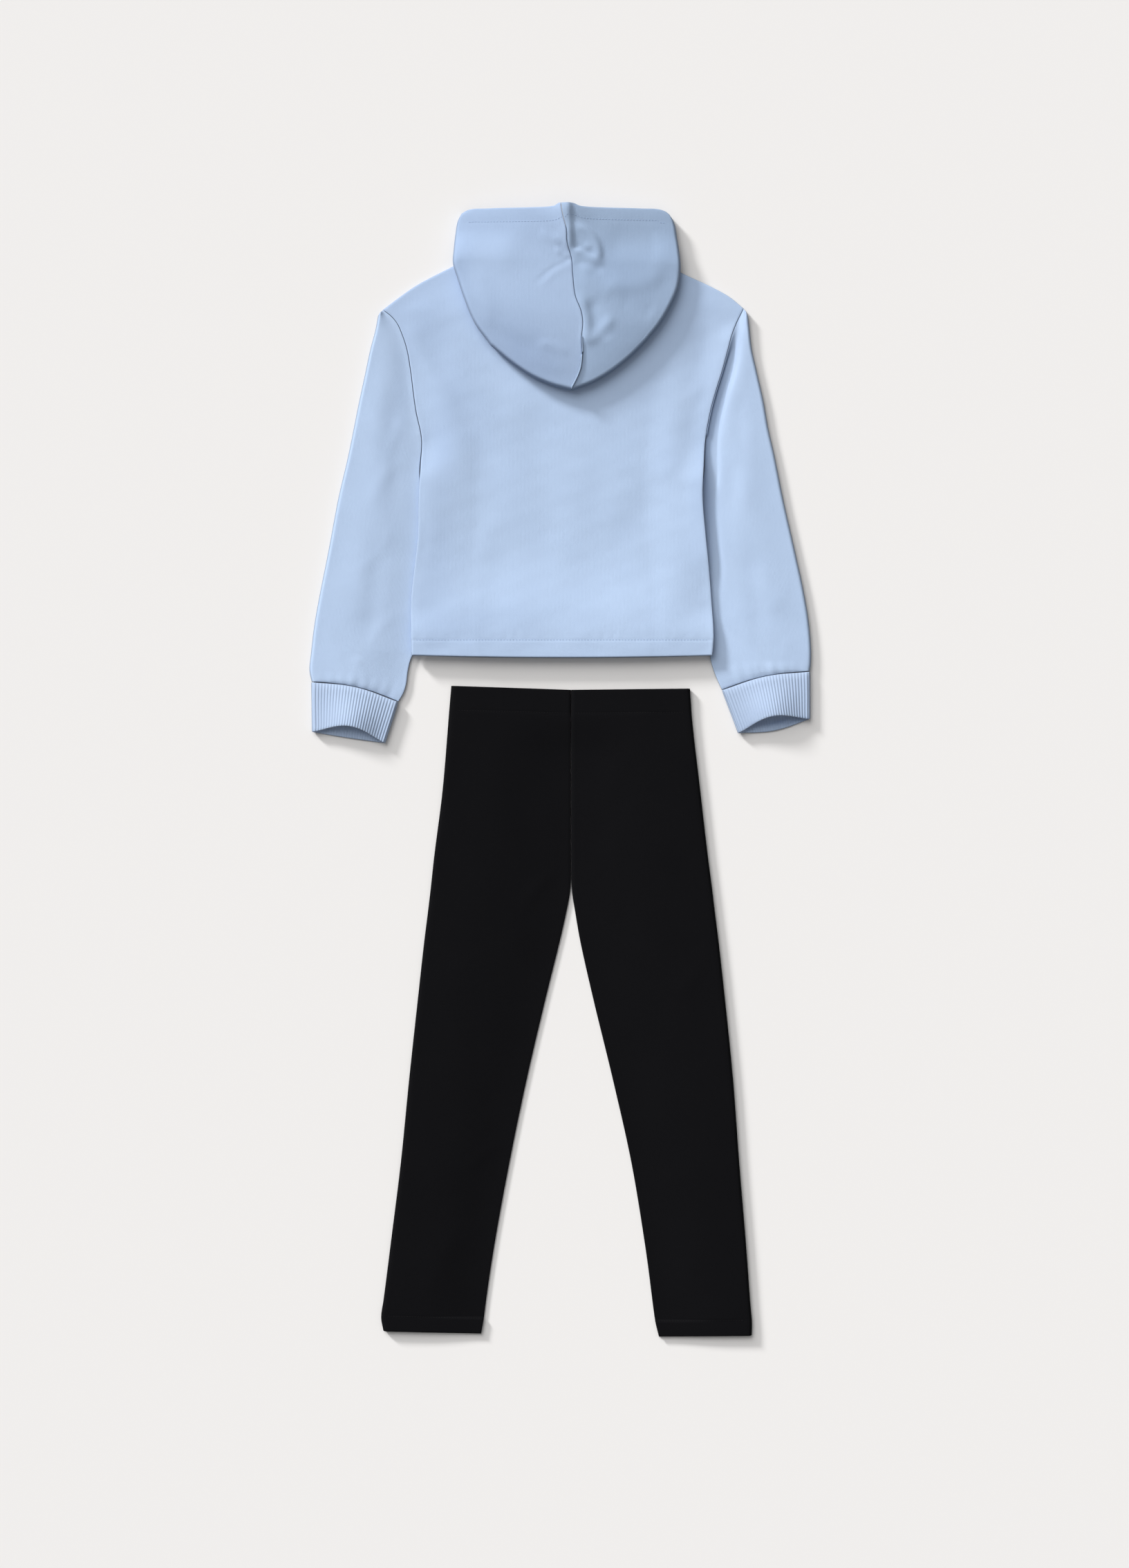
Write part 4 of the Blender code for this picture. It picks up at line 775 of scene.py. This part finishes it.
def makeCuff(side):
    # The tube's section changes from the sleeve seam to the open mouth, and the ribs stand out as
    # rounded cosines all round, inside and out
    key = sideOf(side)
    joint = cuffs[key]
    count = cuffs["ribs"] * cuffs["pointsPerRib"]
    phase = np.arange(count) / cuffs["pointsPerRib"]
    raised = cuffs["ribHeight"] * (0.5 - 0.5 * np.cos(2 * math.pi * phase))**0.7
    seam, mouth = (np.array([joint[end + " outer"], joint[end + " inner"]]) for end in ("seam", "mouth"))
    rows, lengths = [], []
    for way in np.linspace(0, 1, cuffs["rows"]):
        a, b = seam + (mouth - seam) * way
        width = np.linalg.norm(b - a)
        across = (b - a) / width
        sleeveWay = np.array([-across[1], across[0]]) * -side
        height = cuffs["seamHeight"] + (cuffs["mouthHeight"] - cuffs["seamHeight"]) * smooth(way)
        u, z, upper, length = ringSection(width, cuffs["fold"], height, count)
        z = z + cuffs["ribHeight"]
        run = np.stack([np.roll(u, -1) - np.roll(u, 1), np.roll(z, -1) - np.roll(z, 1)], axis=1)
        run /= np.linalg.norm(run, axis=1, keepdims=True)
        lift = raised * (0.55 + 0.45 * smooth(way / 0.12))
        u, z = u + run[:, 1] * lift, z - run[:, 0] * lift
        middle = np.sin(math.pi * np.clip(u / width, 0, 1))
        z = z - cuffs["seamDent"] * bell(way / 0.06) * upper * middle**0.5
        mouthBow = joint["lower bow"] * (1 - upper) + joint["upper bow"] * upper
        swing = (joint["seam bow"] * (1 - way) + mouthBow * way) * middle**1.3
        plan = a + across * u[:, None] + sleeveWay * swing[:, None] - sleeveWay * cloth["gap"] * (1 - way)
        rows.append(np.column_stack([plan, z]))
        lengths.append(length)
    net = np.array(rows)
    total = len(net)
    around = np.arange(count + 1) / count * lengths[0]
    down = np.linspace(0, -cuffs["depth"], total)
    place = np.stack(np.broadcast_arrays(around[None], down[:, None]), axis=-1)
    index = np.arange(total * count).reshape(total, count)
    index = np.concatenate([index, index[:, :1]], axis=1)
    placeIndex = np.arange(total * (count + 1)).reshape(total, count + 1)
    cornerUv = place.reshape(-1, 2)[indexQuads(placeIndex, side > 0)]
    return makeShell(key + "Cuff", net.reshape(-1, 3), indexQuads(index, side > 0), None, cloth["rib"],
                     ribLook, cornerUv=cornerUv, spots=cuffPaintedShadeSpots[side])


sleeves = {side: makeSleeve(side) for side in (-1, 1)}
cuffPieces = {side: makeCuff(side) for side in (-1, 1)}
print("sleeves and cuffs ready")


# Hood
hood = {"fold": 7.0, "foldReach": 0.55, "rimFold": 6.0, "restGap": 0.6, "dome": 8.5, "rimRise": 3.6,
        "clearance": 3.0, "neckClearance": 0.9, "neckStep": 1.5, "neckShare": 0.62, "flatShare": 0.72,
        "shoulder": 4, "corner": 8, "cornerRun": 14.0, "lowRim": 616.0, "rimShare": 0.3, "bump": 3.0,
        "rimTurn": 15.0, "stitchDent": 0.18, "seamEdge": 0.6,
        "tuckedRows": 24, "tipRows": 64, "neckColumns": 34, "outColumns": 20, "arc": 9}
hoodOutline = {
    "left x": (-110.5, -115.0, -117.8, -119.6, -120.5, -115.4, -107.6, -95.9, -78, -54.6, -31.2, -7.8, 13),
    "left y": (628.5, 620.5, 605.3, 588, 572, 554.6, 531.2, 503.9, 478.9, 459.4, 443.8, 433.7, 428.2),
    "right x": (122.5, 128.2, 132, 134.6, 135.7, 133, 126.4, 113.1, 97.5, 78, 54.6, 35.1, 13),
    "right y": (628.0, 619.5, 600, 582, 567, 544, 527.3, 503.9, 484.4, 464.9, 446.9, 436, 428.2),
}
hoodRim = {  # the ways along each half, from the seam to the corner, at which the rim has these heights
    "y": (638, 637.6, 635.2, 634.2, 633.5, 633.0, 632.0, 628.5),
    "left": (0, 0.025, 0.055, 0.1, 0.3, 0.75, 0.93, 1),
    "right": (0, 0.12, 0.165, 0.22, 0.4, 0.75, 0.93, 1),
}
hoodSeam = {"y": (638, 625, 609, 594, 576, 558, 533, 516, 504, 484, 472, 453, 444, 430),
            "x": (1, 3, 7, 8, 13, 14.5, 17.5, 24, 25.7, 24.2, 25, 23.4, 20.3, 13.3)}
hoodCreases = (
    (8.5, 642, 11, 588, 0, 6, 3.0, -0.6),  # band beside the seam, from the rim to the pinch
    (17, 614, 44, 572, -8, 8, 2.8, -0.6),  # fold that swings round from the band
    (16, 589, 38, 579, -2, 3.2, -1.3, 0.2),
    (16, 583, 34, 589, 0, 4, 1.1, 0),
    (18, 571, 46, 563, -3, 5, -0.9, 0),
    (0, 592, 11, 582, 1, 2.4, -0.8, 0),
    (0, 582, 12, 574, 1, 2.2, -0.7, 0),
    (-4, 586, 9, 578, 1, 2.5, 0.6, 0),
    (13, 575, -26, 550, 3, 2.6, -0.32, 0.3),
    (12, 568, -18, 546, 3, 4.0, 0.2, 0),
    (24, 533, 29, 484, -4, 5.5, 1.5, 0),  # bulge along the seam
    (35, 526, 50, 488, 3, 9, -1.7, 0),
    (30, 481, 58, 508, 2, 7, 1.5, 0),
    (24, 556, 62, 540, 4, 12, 0.9, 0),
    (58, 548, 118, 562, 6, 14, 1.2, 0.2),
    (56, 592, 112, 586, -5, 16, -1.1, 0),
    (70, 530, 104, 515, 3, 12, -0.8, 0),
    (-70, 470, 12, 452, 6, 9, 0.9, 0.2),
    (-60, 456, 4, 440, 5, 8, -0.8, 0),
    (-86, 500, -30, 470, 5, 12, -0.8, 0),
    (-96, 560, -84, 500, -4, 12, 0.7, 0),
    (-40, 612, -66, 566, 4, 16, 0.7, 0),
    (-20, 606, -2, 596, 2, 5, 0.5, 0),
    (8, 470, -22, 480, 2, 6, 0.6, 0),
)


def hoodSeamLine(ys):
    # The centre seam in plan, smooth through its table
    return np.stack([through(hoodSeam["y"], hoodSeam["x"], ys), ys], axis=1)


def makeHoodHalf(side):
    # Upper layer: a patch between centre seam, rim, side fold and bottom fold. Lower layer: the cheek up
    # to the front neckline and the shoulder, then the nape on the back panel. Half circles join them.
    key = sideOf(side)
    gap = cloth["gap"] / 2 * side
    corner, share = hood["corner"], hood["neckShare"]
    neckWays = np.linspace(0, 1, hood["neckColumns"])
    outWays = np.linspace(0, 1, hood["outColumns"] + 1)[1:]
    rimRows = np.linspace(0, 1, hood["tuckedRows"])
    tipRows = np.linspace(0, 1, hood["tipRows"] + 1)[1:]
    outX, outY = np.array(hoodOutline[key + " x"], float), np.array(hoodOutline[key + " y"], float)
    length = lengthAlong(np.stack([outX[:corner + 1], outY[:corner + 1]], axis=1))
    shoulderAt = length[hood["shoulder"]] / length[-1]
    sideWays = np.concatenate([rimRows * shoulderAt, shoulderAt + (1 - shoulderAt) * tipRows])
    sideLine = along(outX[:corner + 1], outY[:corner + 1], sideWays)
    columns = np.concatenate([neckWays * share, share + (1 - share) * outWays])
    bottomLine = along(outX[corner:], outY[corner:], 1 - columns)
    outline = np.concatenate([sideLine, bottomLine[::-1][1:]])
    inward = leftNormals(outline) * -side
    tipRun = np.subtract(*hoodSeamLine(hoodSeam["y"][-2:]))
    inward[-1] = tipRun / np.linalg.norm(tipRun)
    inward /= np.linalg.norm(inward, axis=1, keepdims=True)
    rows, count, last = len(sideWays), len(columns), len(rimRows) - 1
    radius = np.full(len(outline), hood["fold"])
    radius[:rows] = hood["rimFold"] + (hood["fold"] - hood["rimFold"]) * smooth(sideWays / shoulderAt)
    spread = radius.copy()  # the fold's reach in plan, which dies away into the rim's corner
    spread[:rows] *= 0.12 + 0.88 * smooth(sideWays * length[-1] / hood["cornerRun"])
    spread *= hood["foldReach"]
    inset = outline + inward * spread[:, None]
    sideIn, bottomIn = inset[:rows], inset[rows - 1:][::-1]
    tipY = bottomIn[0, 1]
    # Upper layer in plan
    rimY, rimShare = hoodRim["y"][0], hood["rimShare"]
    seamWays = np.concatenate([rimRows * rimShare, rimShare + (1 - rimShare) * tipRows])
    seam = hoodSeamLine(rimY + (tipY - rimY) * seamWays)
    seam[:, 0] += gap
    bottomIn[0, 0] = seam[-1, 0]
    inset[-1, 0] = seam[-1, 0]
    rim = np.stack([seam[0, 0] + (sideIn[0, 0] - seam[0, 0]) * columns,
                    through(hoodRim[key], hoodRim["y"], columns)], axis=1)
    rim[-1] = sideIn[0]
    topNet = patch(rim, bottomIn, seam, sideIn, columns, sideWays)
    # Cheek and nape in plan
    neckFront = neckPoints(side, neckWays, body["frontNeck"], body["frontCurve"])
    neckBack = neckPoints(side, neckWays, body["backNeck"], body["backCurve"])
    uphill = leftNormals(shoulderPoints(side, np.linspace(0, 1, 9)))[4] * -side
    flat = hood["flatShare"]
    over = shoulderPoints(side, 1 - (1 - share) * np.minimum(outWays, flat))
    over = over + uphill * np.interp(outWays, (0, 0.16), (hood["neckClearance"], hood["clearance"]))[:, None]
    over = over + (sideIn[last] - over) * np.clip((outWays - flat) / (1 - flat), 0, 1)[:, None]
    nearPoint = smooth((neckWays - 0.8) / 0.2)[:, None]
    frontLine = neckFront + (0, cloth["gap"]) + leftNormals(neckFront) * side * 0.1
    frontLine = np.concatenate([frontLine + uphill * hood["neckClearance"] * nearPoint, over])
    start = body["neckMiddle"] + hood["neckStep"] * side
    frontLine[0, 0] = start
    backLine = np.concatenate([neckBack, over])
    backLine[0, 0] = hoodSeamLine([body["backNeck"]])[0, 0] + gap
    lowRise = sideIn[0, 1] - hood["neckStep"] - hood["lowRim"]
    lowRim = np.stack([start + (sideIn[0, 0] - start) * columns,
                       hood["lowRim"] + lowRise * smooth(columns / 0.5)], axis=1)
    lowRim[-1] = sideIn[0]
    cheekIn = lowRim[0] + (frontLine[0] - lowRim[0]) * rimRows[:, None]
    cheek = patch(lowRim, frontLine, cheekIn, sideIn[:last + 1], columns, rimRows)
    napeWays = np.append(0, tipRows)
    napeIn = hoodSeamLine(body["backNeck"] + (tipY - body["backNeck"]) * napeWays)
    napeIn[:, 0] += gap
    napeIn[-1] = bottomIn[0]
    nape = patch(backLine, bottomIn, napeIn, sideIn[last:], columns, napeWays)
    # Heights
    joint = len(neckWays)
    restTop = 2 * cloth["fleece"] + cloth["gap"] + hood["restGap"]
    ramp = smooth(0.45 + outWays / 0.18)
    cheekZ = np.zeros(cheek.shape[:2])
    cheekZ[:, joint:] = restTop * smooth((rimRows[:, None] - 0.35) / 0.65) * ramp
    napeZ = backHeight(nape[..., 0], nape[..., 1], fine=False) + hood["restGap"]
    napeZ[0, joint:] = restTop
    lowEdge = np.concatenate([cheekZ[:, -1], napeZ[1:, -1], napeZ[-1, :-1][::-1]])
    topEdge = lowEdge + 2 * radius
    u, v = columns[None, :], sideWays[:, None]
    x, y = topNet[..., 0], topNet[..., 1]
    edgeTop = patch(np.full((count, 1), topEdge[0]), topEdge[rows - 1:][::-1][:, None],
                    np.linspace(topEdge[0], topEdge[-1], rows)[:, None], topEdge[:rows][:, None],
                    columns, sideWays)[..., 0]
    inside = np.sin(math.pi / 2 * (1 - u)) * np.sin(math.pi / 2 * np.clip((1 - v) * 2.2, 0, 1))
    rimRise = hood["rimRise"] * (1 - smooth(v / 0.35)) * (1 - u)
    bump = hood["bump"] * bell((x - body["neckMiddle"]) / 22) * (1 - smooth(v / 0.28))
    calm = smooth((1 - u) / 0.25) * smooth((1 - v) / 0.2)
    creases = creaseHeight(x, y, hoodCreases) * calm
    fromRim = np.linalg.norm(topNet - topNet[:1], axis=2)
    dent = -hood["stitchDent"] * bell((fromRim - hood["rimTurn"]) / 1.6) * smooth((1 - u) / 0.1)
    topZ = edgeTop + hood["dome"] * inside + rimRise + bump + creases + dent
    # All points: upper layer, cheek, nape and the folds' arcs, then the nets that join them
    turn = np.linspace(0, math.pi, hood["arc"] + 2)[1:-1]
    arcReach = (spread[:, None] * np.sin(turn), radius[:, None] * np.minimum(turn, math.pi - turn))
    arcPlan, arcPlace = (inset[:, None] - inward[:, None] * reach[..., None] for reach in arcReach)
    arcZ = lowEdge[:, None] + radius[:, None] * (1 + np.cos(turn))
    arcPoints = np.concatenate([arcPlan, arcZ[..., None]], axis=-1)
    blocks = [np.dstack([topNet, topZ]), np.dstack([cheek, cheekZ]), np.dstack([nape, napeZ]), arcPoints]
    places = [topNet, cheek, nape, arcPlace]
    first = np.concatenate([[0], np.cumsum([b.shape[0] * b.shape[1] for b in blocks])])
    topI, cheekI, napeI, arcI = (f + np.arange(b.shape[0] * b.shape[1]).reshape(b.shape[:2])
                                 for f, b in zip(first, blocks))
    napeI[0, joint:] = cheekI[-1, joint:]
    upperEdge = np.concatenate([topI[:, -1], topI[-1, :-1][::-1]])
    lowerEdge = np.concatenate([cheekI[:, -1], napeI[1:, -1], napeI[-1, :-1][::-1]])
    belt = np.column_stack([upperEdge, arcI, lowerEdge])
    right = side > 0
    quads = np.concatenate([indexQuads(topI, right), indexQuads(belt, right), indexQuads(cheekI, not right),
                            indexQuads(napeI, not right)])
    points = np.concatenate([b.reshape(-1, 3) for b in blocks])
    place = np.concatenate([p.reshape(-1, 2) for p in places])
    used = np.unique(quads)
    renumber = np.zeros(len(points), int)
    renumber[used] = np.arange(len(used))
    tip = renumber[np.concatenate([[topI[-1, 0], napeI[-1, 0]], arcI[-1]])]
    cuts = [(k, (inward[-1][1], -inward[-1][0])) for k in tip]
    cuts.append((renumber[topI[0, 0]], leftNormals(seam)[0]))
    edge = np.full(len(used), 9.0)
    edge[renumber[np.concatenate([topI[2:, 0], napeI[:, 0]])]] = hood["seamEdge"]
    piece = makeShell(key + "Hood", points[used], renumber[quads], place[used], cloth["fleece"],
                      hoodRightPaintedShadeLook if right else hoodLeftPaintedShadeLook, cuts, edge=edge, spots=hoodPaintedShadeSpots[side])
    near = np.abs(fromRim - hood["rimTurn"]).argmin(axis=0)
    line = np.dstack([topNet, topZ])[near, np.arange(count)][:-3]
    stitches = makeStitches(key + "RimStitches", line, blueThread)
    return piece, stitches


hoodPieces = {side: makeHoodHalf(side) for side in (-1, 1)}
print("hood ready")


# Leggings
leg = {"waist": 95.0, "ankle": -632.0, "rise": 12.5, "casing": 27.0, "casingWall": 2.9, "hem": 20.0,
       "fold": 3.8, "loft": 1.6, "acrossUpper": 36, "acrossFold": 7, "acrossLower": 26, "waistDip": 2.8,
       "elastic": 0.16, "pucker": 0.12, "stitchDent": 0.2, "crotch": -133.0,
       "endSlope": {"left": -0.0245, "right": -0.01}, "endWidth": 110.0,
       "endDrop": {"left": -1.2, "right": 3.8}, "cornerRise": {"left": 1.7, "right": -1.4}}
legEdges = {
    "y": (95, 59, -23, -97, -133, -159, -190, -253, -346, -440, -534, -596, -617, -632),
    "left outer": (-122.5, -125.6, -132.6, -142, -145.9, -149, -152.9, -159.9, -170, -179.4, -191.1,
                   -198.9, -201.6, -199),
    "left inner": (12.35, 12.35, 12.35, 12.35, 11.7, 7, 0, -15.6, -37.4, -56.9, -74.1, -83.5, -86.3,
                   -88.9),
    "right inner": (12.65, 12.65, 12.65, 12.65, 13.3, 17.2, 22.6, 36.7, 59.3, 80.3, 95.9, 104.5,
                    107.8, 111.5),
    "right outer": (146.6, 149, 158.3, 166.9, 171.6, 174.7, 178.6, 185.6, 195, 202, 209.8, 214.5,
                    216.4, 216.1),
}
legCreases = (
    (-60, 20, -20, -90, 0, 15, -0.4, 0),
    (90, 10, 40, -80, 0, 15, -0.4, 0),
    (-100, -300, -70, -380, 0, 14, -0.4, 0),
    (110, -260, 140, -350, 0, 14, -0.4, 0),
    (-120, -520, -150, -590, 0, 14, 0.4, 0),
    (0, -110, -40, -150, 4, 8, 0.5, 0),
    (26, -112, 64, -156, -4, 8, 0.5, 0),
    (-134, -180, -104, -226, 4, 9, 0.4, 0),
    (166, -200, 134, -250, -4, 9, 0.4, 0),
    (-60, -420, -104, -446, 3, 8, 0.35, 0),
    (96, -430, 134, -462, 3, 8, 0.35, 0),
)


def makeLeg(side):
    # Folded along its outer edge; its open edges meet at the rise above the crotch and at the inseam below.
    # The rows lie closer together at the waist's edge and at the two lines of stitches.
    key = sideOf(side)
    top, ankle = leg["waist"], leg["ankle"]
    casing, hem = top - leg["casing"], ankle + leg["hem"] - 2.5
    levels = np.concatenate([finer((top, top - 3), 1.5), finer((top - 6, casing + 4), 3.5),
                             finer((casing + 3, casing - 3), 1.0), finer((casing - 6, hem + 4), 4.2),
                             finer((hem + 3, hem - 3), 1.0), finer((hem - 5, ankle), 3.0)])
    outer = np.stack([through(legEdges["y"], legEdges[key + " outer"], levels), levels], axis=1)
    inner = np.stack([through(legEdges["y"], legEdges[key + " inner"], levels), levels], axis=1)
    limit = leg["rise"] + side * cloth["gap"] / 2
    inner[:, 0] = side * np.maximum(side * inner[:, 0], side * limit)
    end = smooth((-560 - levels) / 60)
    outer[:, 1] -= leg["endDrop"][key] * end
    inner[:, 1] += (leg["endSlope"][key] * leg["endWidth"] - leg["endDrop"][key]) * end
    inner[:, 1] -= leg["waistDip"] * smooth((levels - 40) / 40)
    outer[:, 1] += leg["cornerRise"][key] * smooth((levels - 40) / 40)
    turnedTop = smooth((levels - casing) / 1.5 + 0.5)
    turnedHem = smooth((hem - levels) / 1.5 + 0.5)
    wall, extra = cloth["jersey"], leg["casingWall"] - cloth["jersey"]
    thickness = wall + extra * turnedTop + wall * turnedHem
    rise = smooth((levels - casing + 52) / 50)
    bulk = np.maximum(thickness, wall + extra * rise)
    fold = np.maximum(leg["fold"], bulk + 0.25)
    loft = leg["loft"] * (1 - 0.75 * rise) * (1 - 0.6 * turnedHem)
    net = foldedNet(outer, inner, fold, 2 * bulk + cloth["gap"], loft, leg)
    upper = net[:, :leg["acrossUpper"]]
    way = np.sin(math.pi * np.linspace(1, 0, leg["acrossUpper"]))[None]
    x, y = upper[..., 0].copy(), upper[..., 1].copy()
    calm = ((1 - turnedTop) * (1 - turnedHem))[:, None]
    gather = np.sin(x / 1.35 + np.sin(x / 7.0)) * (0.6 + 0.4 * np.sin(x / 17.0 + side))
    rowY = levels[:, None]
    elastic = leg["elastic"] * gather * bell((rowY - (top - 14)) / 9)
    elastic = elastic + leg["pucker"] * gather * bell((rowY - casing + 5) / 6)
    dent = sum(-leg["stitchDent"] * bell((rowY - line) / 1.5) for line in (casing, hem))
    wave = unevenness(x, y, 70.0, 0.22, 0.5) * calm
    upper[..., 2] += (creaseHeight(x, y, legCreases) * calm + wave + elastic + dent) * way**0.5
    piece = makeShell(key + "Leg", net.reshape(-1, 3), gridQuads(*net.shape[:2], turn=side > 0),
                      tubePlace(net).reshape(-1, 2), np.repeat(thickness, net.shape[1]), jerseyLook,
                      edge=np.repeat(np.where(levels > leg["crotch"], 0.25, 9.0), net.shape[1]))
    rows = {"Casing": np.abs(levels - casing).argmin(), "AnkleHem": np.abs(levels - hem).argmin()}
    stitches = [makeStitches(key + name + "Stitches", upper[k, 1:-1], blackThread, length=2.2, pitch=3.0,
                             radius=0.2) for name, k in rows.items()]
    return piece, stitches


legPieces = {side: makeLeg(side) for side in (-1, 1)}
print("leggings ready")


# Each piece rides on the one body and stands for its solid, which is hidden
def settle(piece, node, withPieces=()):
    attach(piece, "root")
    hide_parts(node)
    for extra in withPieces:
        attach(extra, "root")


def makeFloor():
    # One square at z = 0, far wider than the view
    mesh = bpy.data.meshes.new("floor")
    mesh.from_pydata([(-12, -12, 0), (12, -12, 0), (12, 12, 0), (-12, 12, 0)], [], [(0, 1, 2, 3)])
    mesh.materials.append(newLook("studio floor", {"Base Color": (0.82, 0.808, 0.803, 1.0), "Roughness": 0.9,
                                                   "Specular IOR Level": 0.1})[0])
    floor = bpy.data.objects.new("floor", mesh)
    scene.collection.objects.link(floor)
    return floor


# Lights: an even sky, a wide sun straight overhead and two from the upper left, a soft high one and a
# crisper low one. Each sun: its strength, its softness, its height above the floor and where it comes
# from, in degrees
light = {"sky": 0.10, "warmth": (1.0, 0.995, 0.985), "overhead": (0.62, 95.0, 90.0, 0.0),
         "high key": (1.78, 46.0, 45.0, 124.0), "low key": (3.62, 9.5, 18.6, 134.0)}


def makeSun(name, strength, softness, height, comesFrom):
    # A sun shines down its own -z, which is tilted from straight down by 90 degrees less its height
    data = bpy.data.lights.new(name, "SUN")
    data.energy = strength
    data.angle = math.radians(softness)
    data.color = light["warmth"]
    sun = bpy.data.objects.new(name, data)
    sun.rotation_euler = (0.0, math.radians(90 - height), math.radians(comesFrom))
    scene.collection.objects.link(sun)


def makeLights():
    # The sky and the three suns
    world = bpy.data.worlds.new("studio")
    world.use_nodes = True
    world.node_tree.nodes["Background"].inputs["Color"].default_value = (1.0, 1.0, 1.0, 1.0)
    world.node_tree.nodes["Background"].inputs["Strength"].default_value = light["sky"]
    scene.world = world
    for name in ("overhead", "high key", "low key"):
        makeSun(name, *light[name])


floor = makeFloor()
makeLights()
scene.view_settings.view_transform = "Standard"

settle(frontPanel, "front_panel")
settle(backPanel, "back_panel",
       withPieces=[hemStitches])
for side in (-1, 1):
    key = sideOf(side)
    settle(sleeves[side], key + "_sleeve")
    settle(cuffPieces[side], key + "_cuff")
    piece, stitches = hoodPieces[side]
    settle(piece, key + "_hood", [stitches])
    piece, stitches = legPieces[side]
    settle(piece, key + "_leg", stitches)

print("all pieces placed")
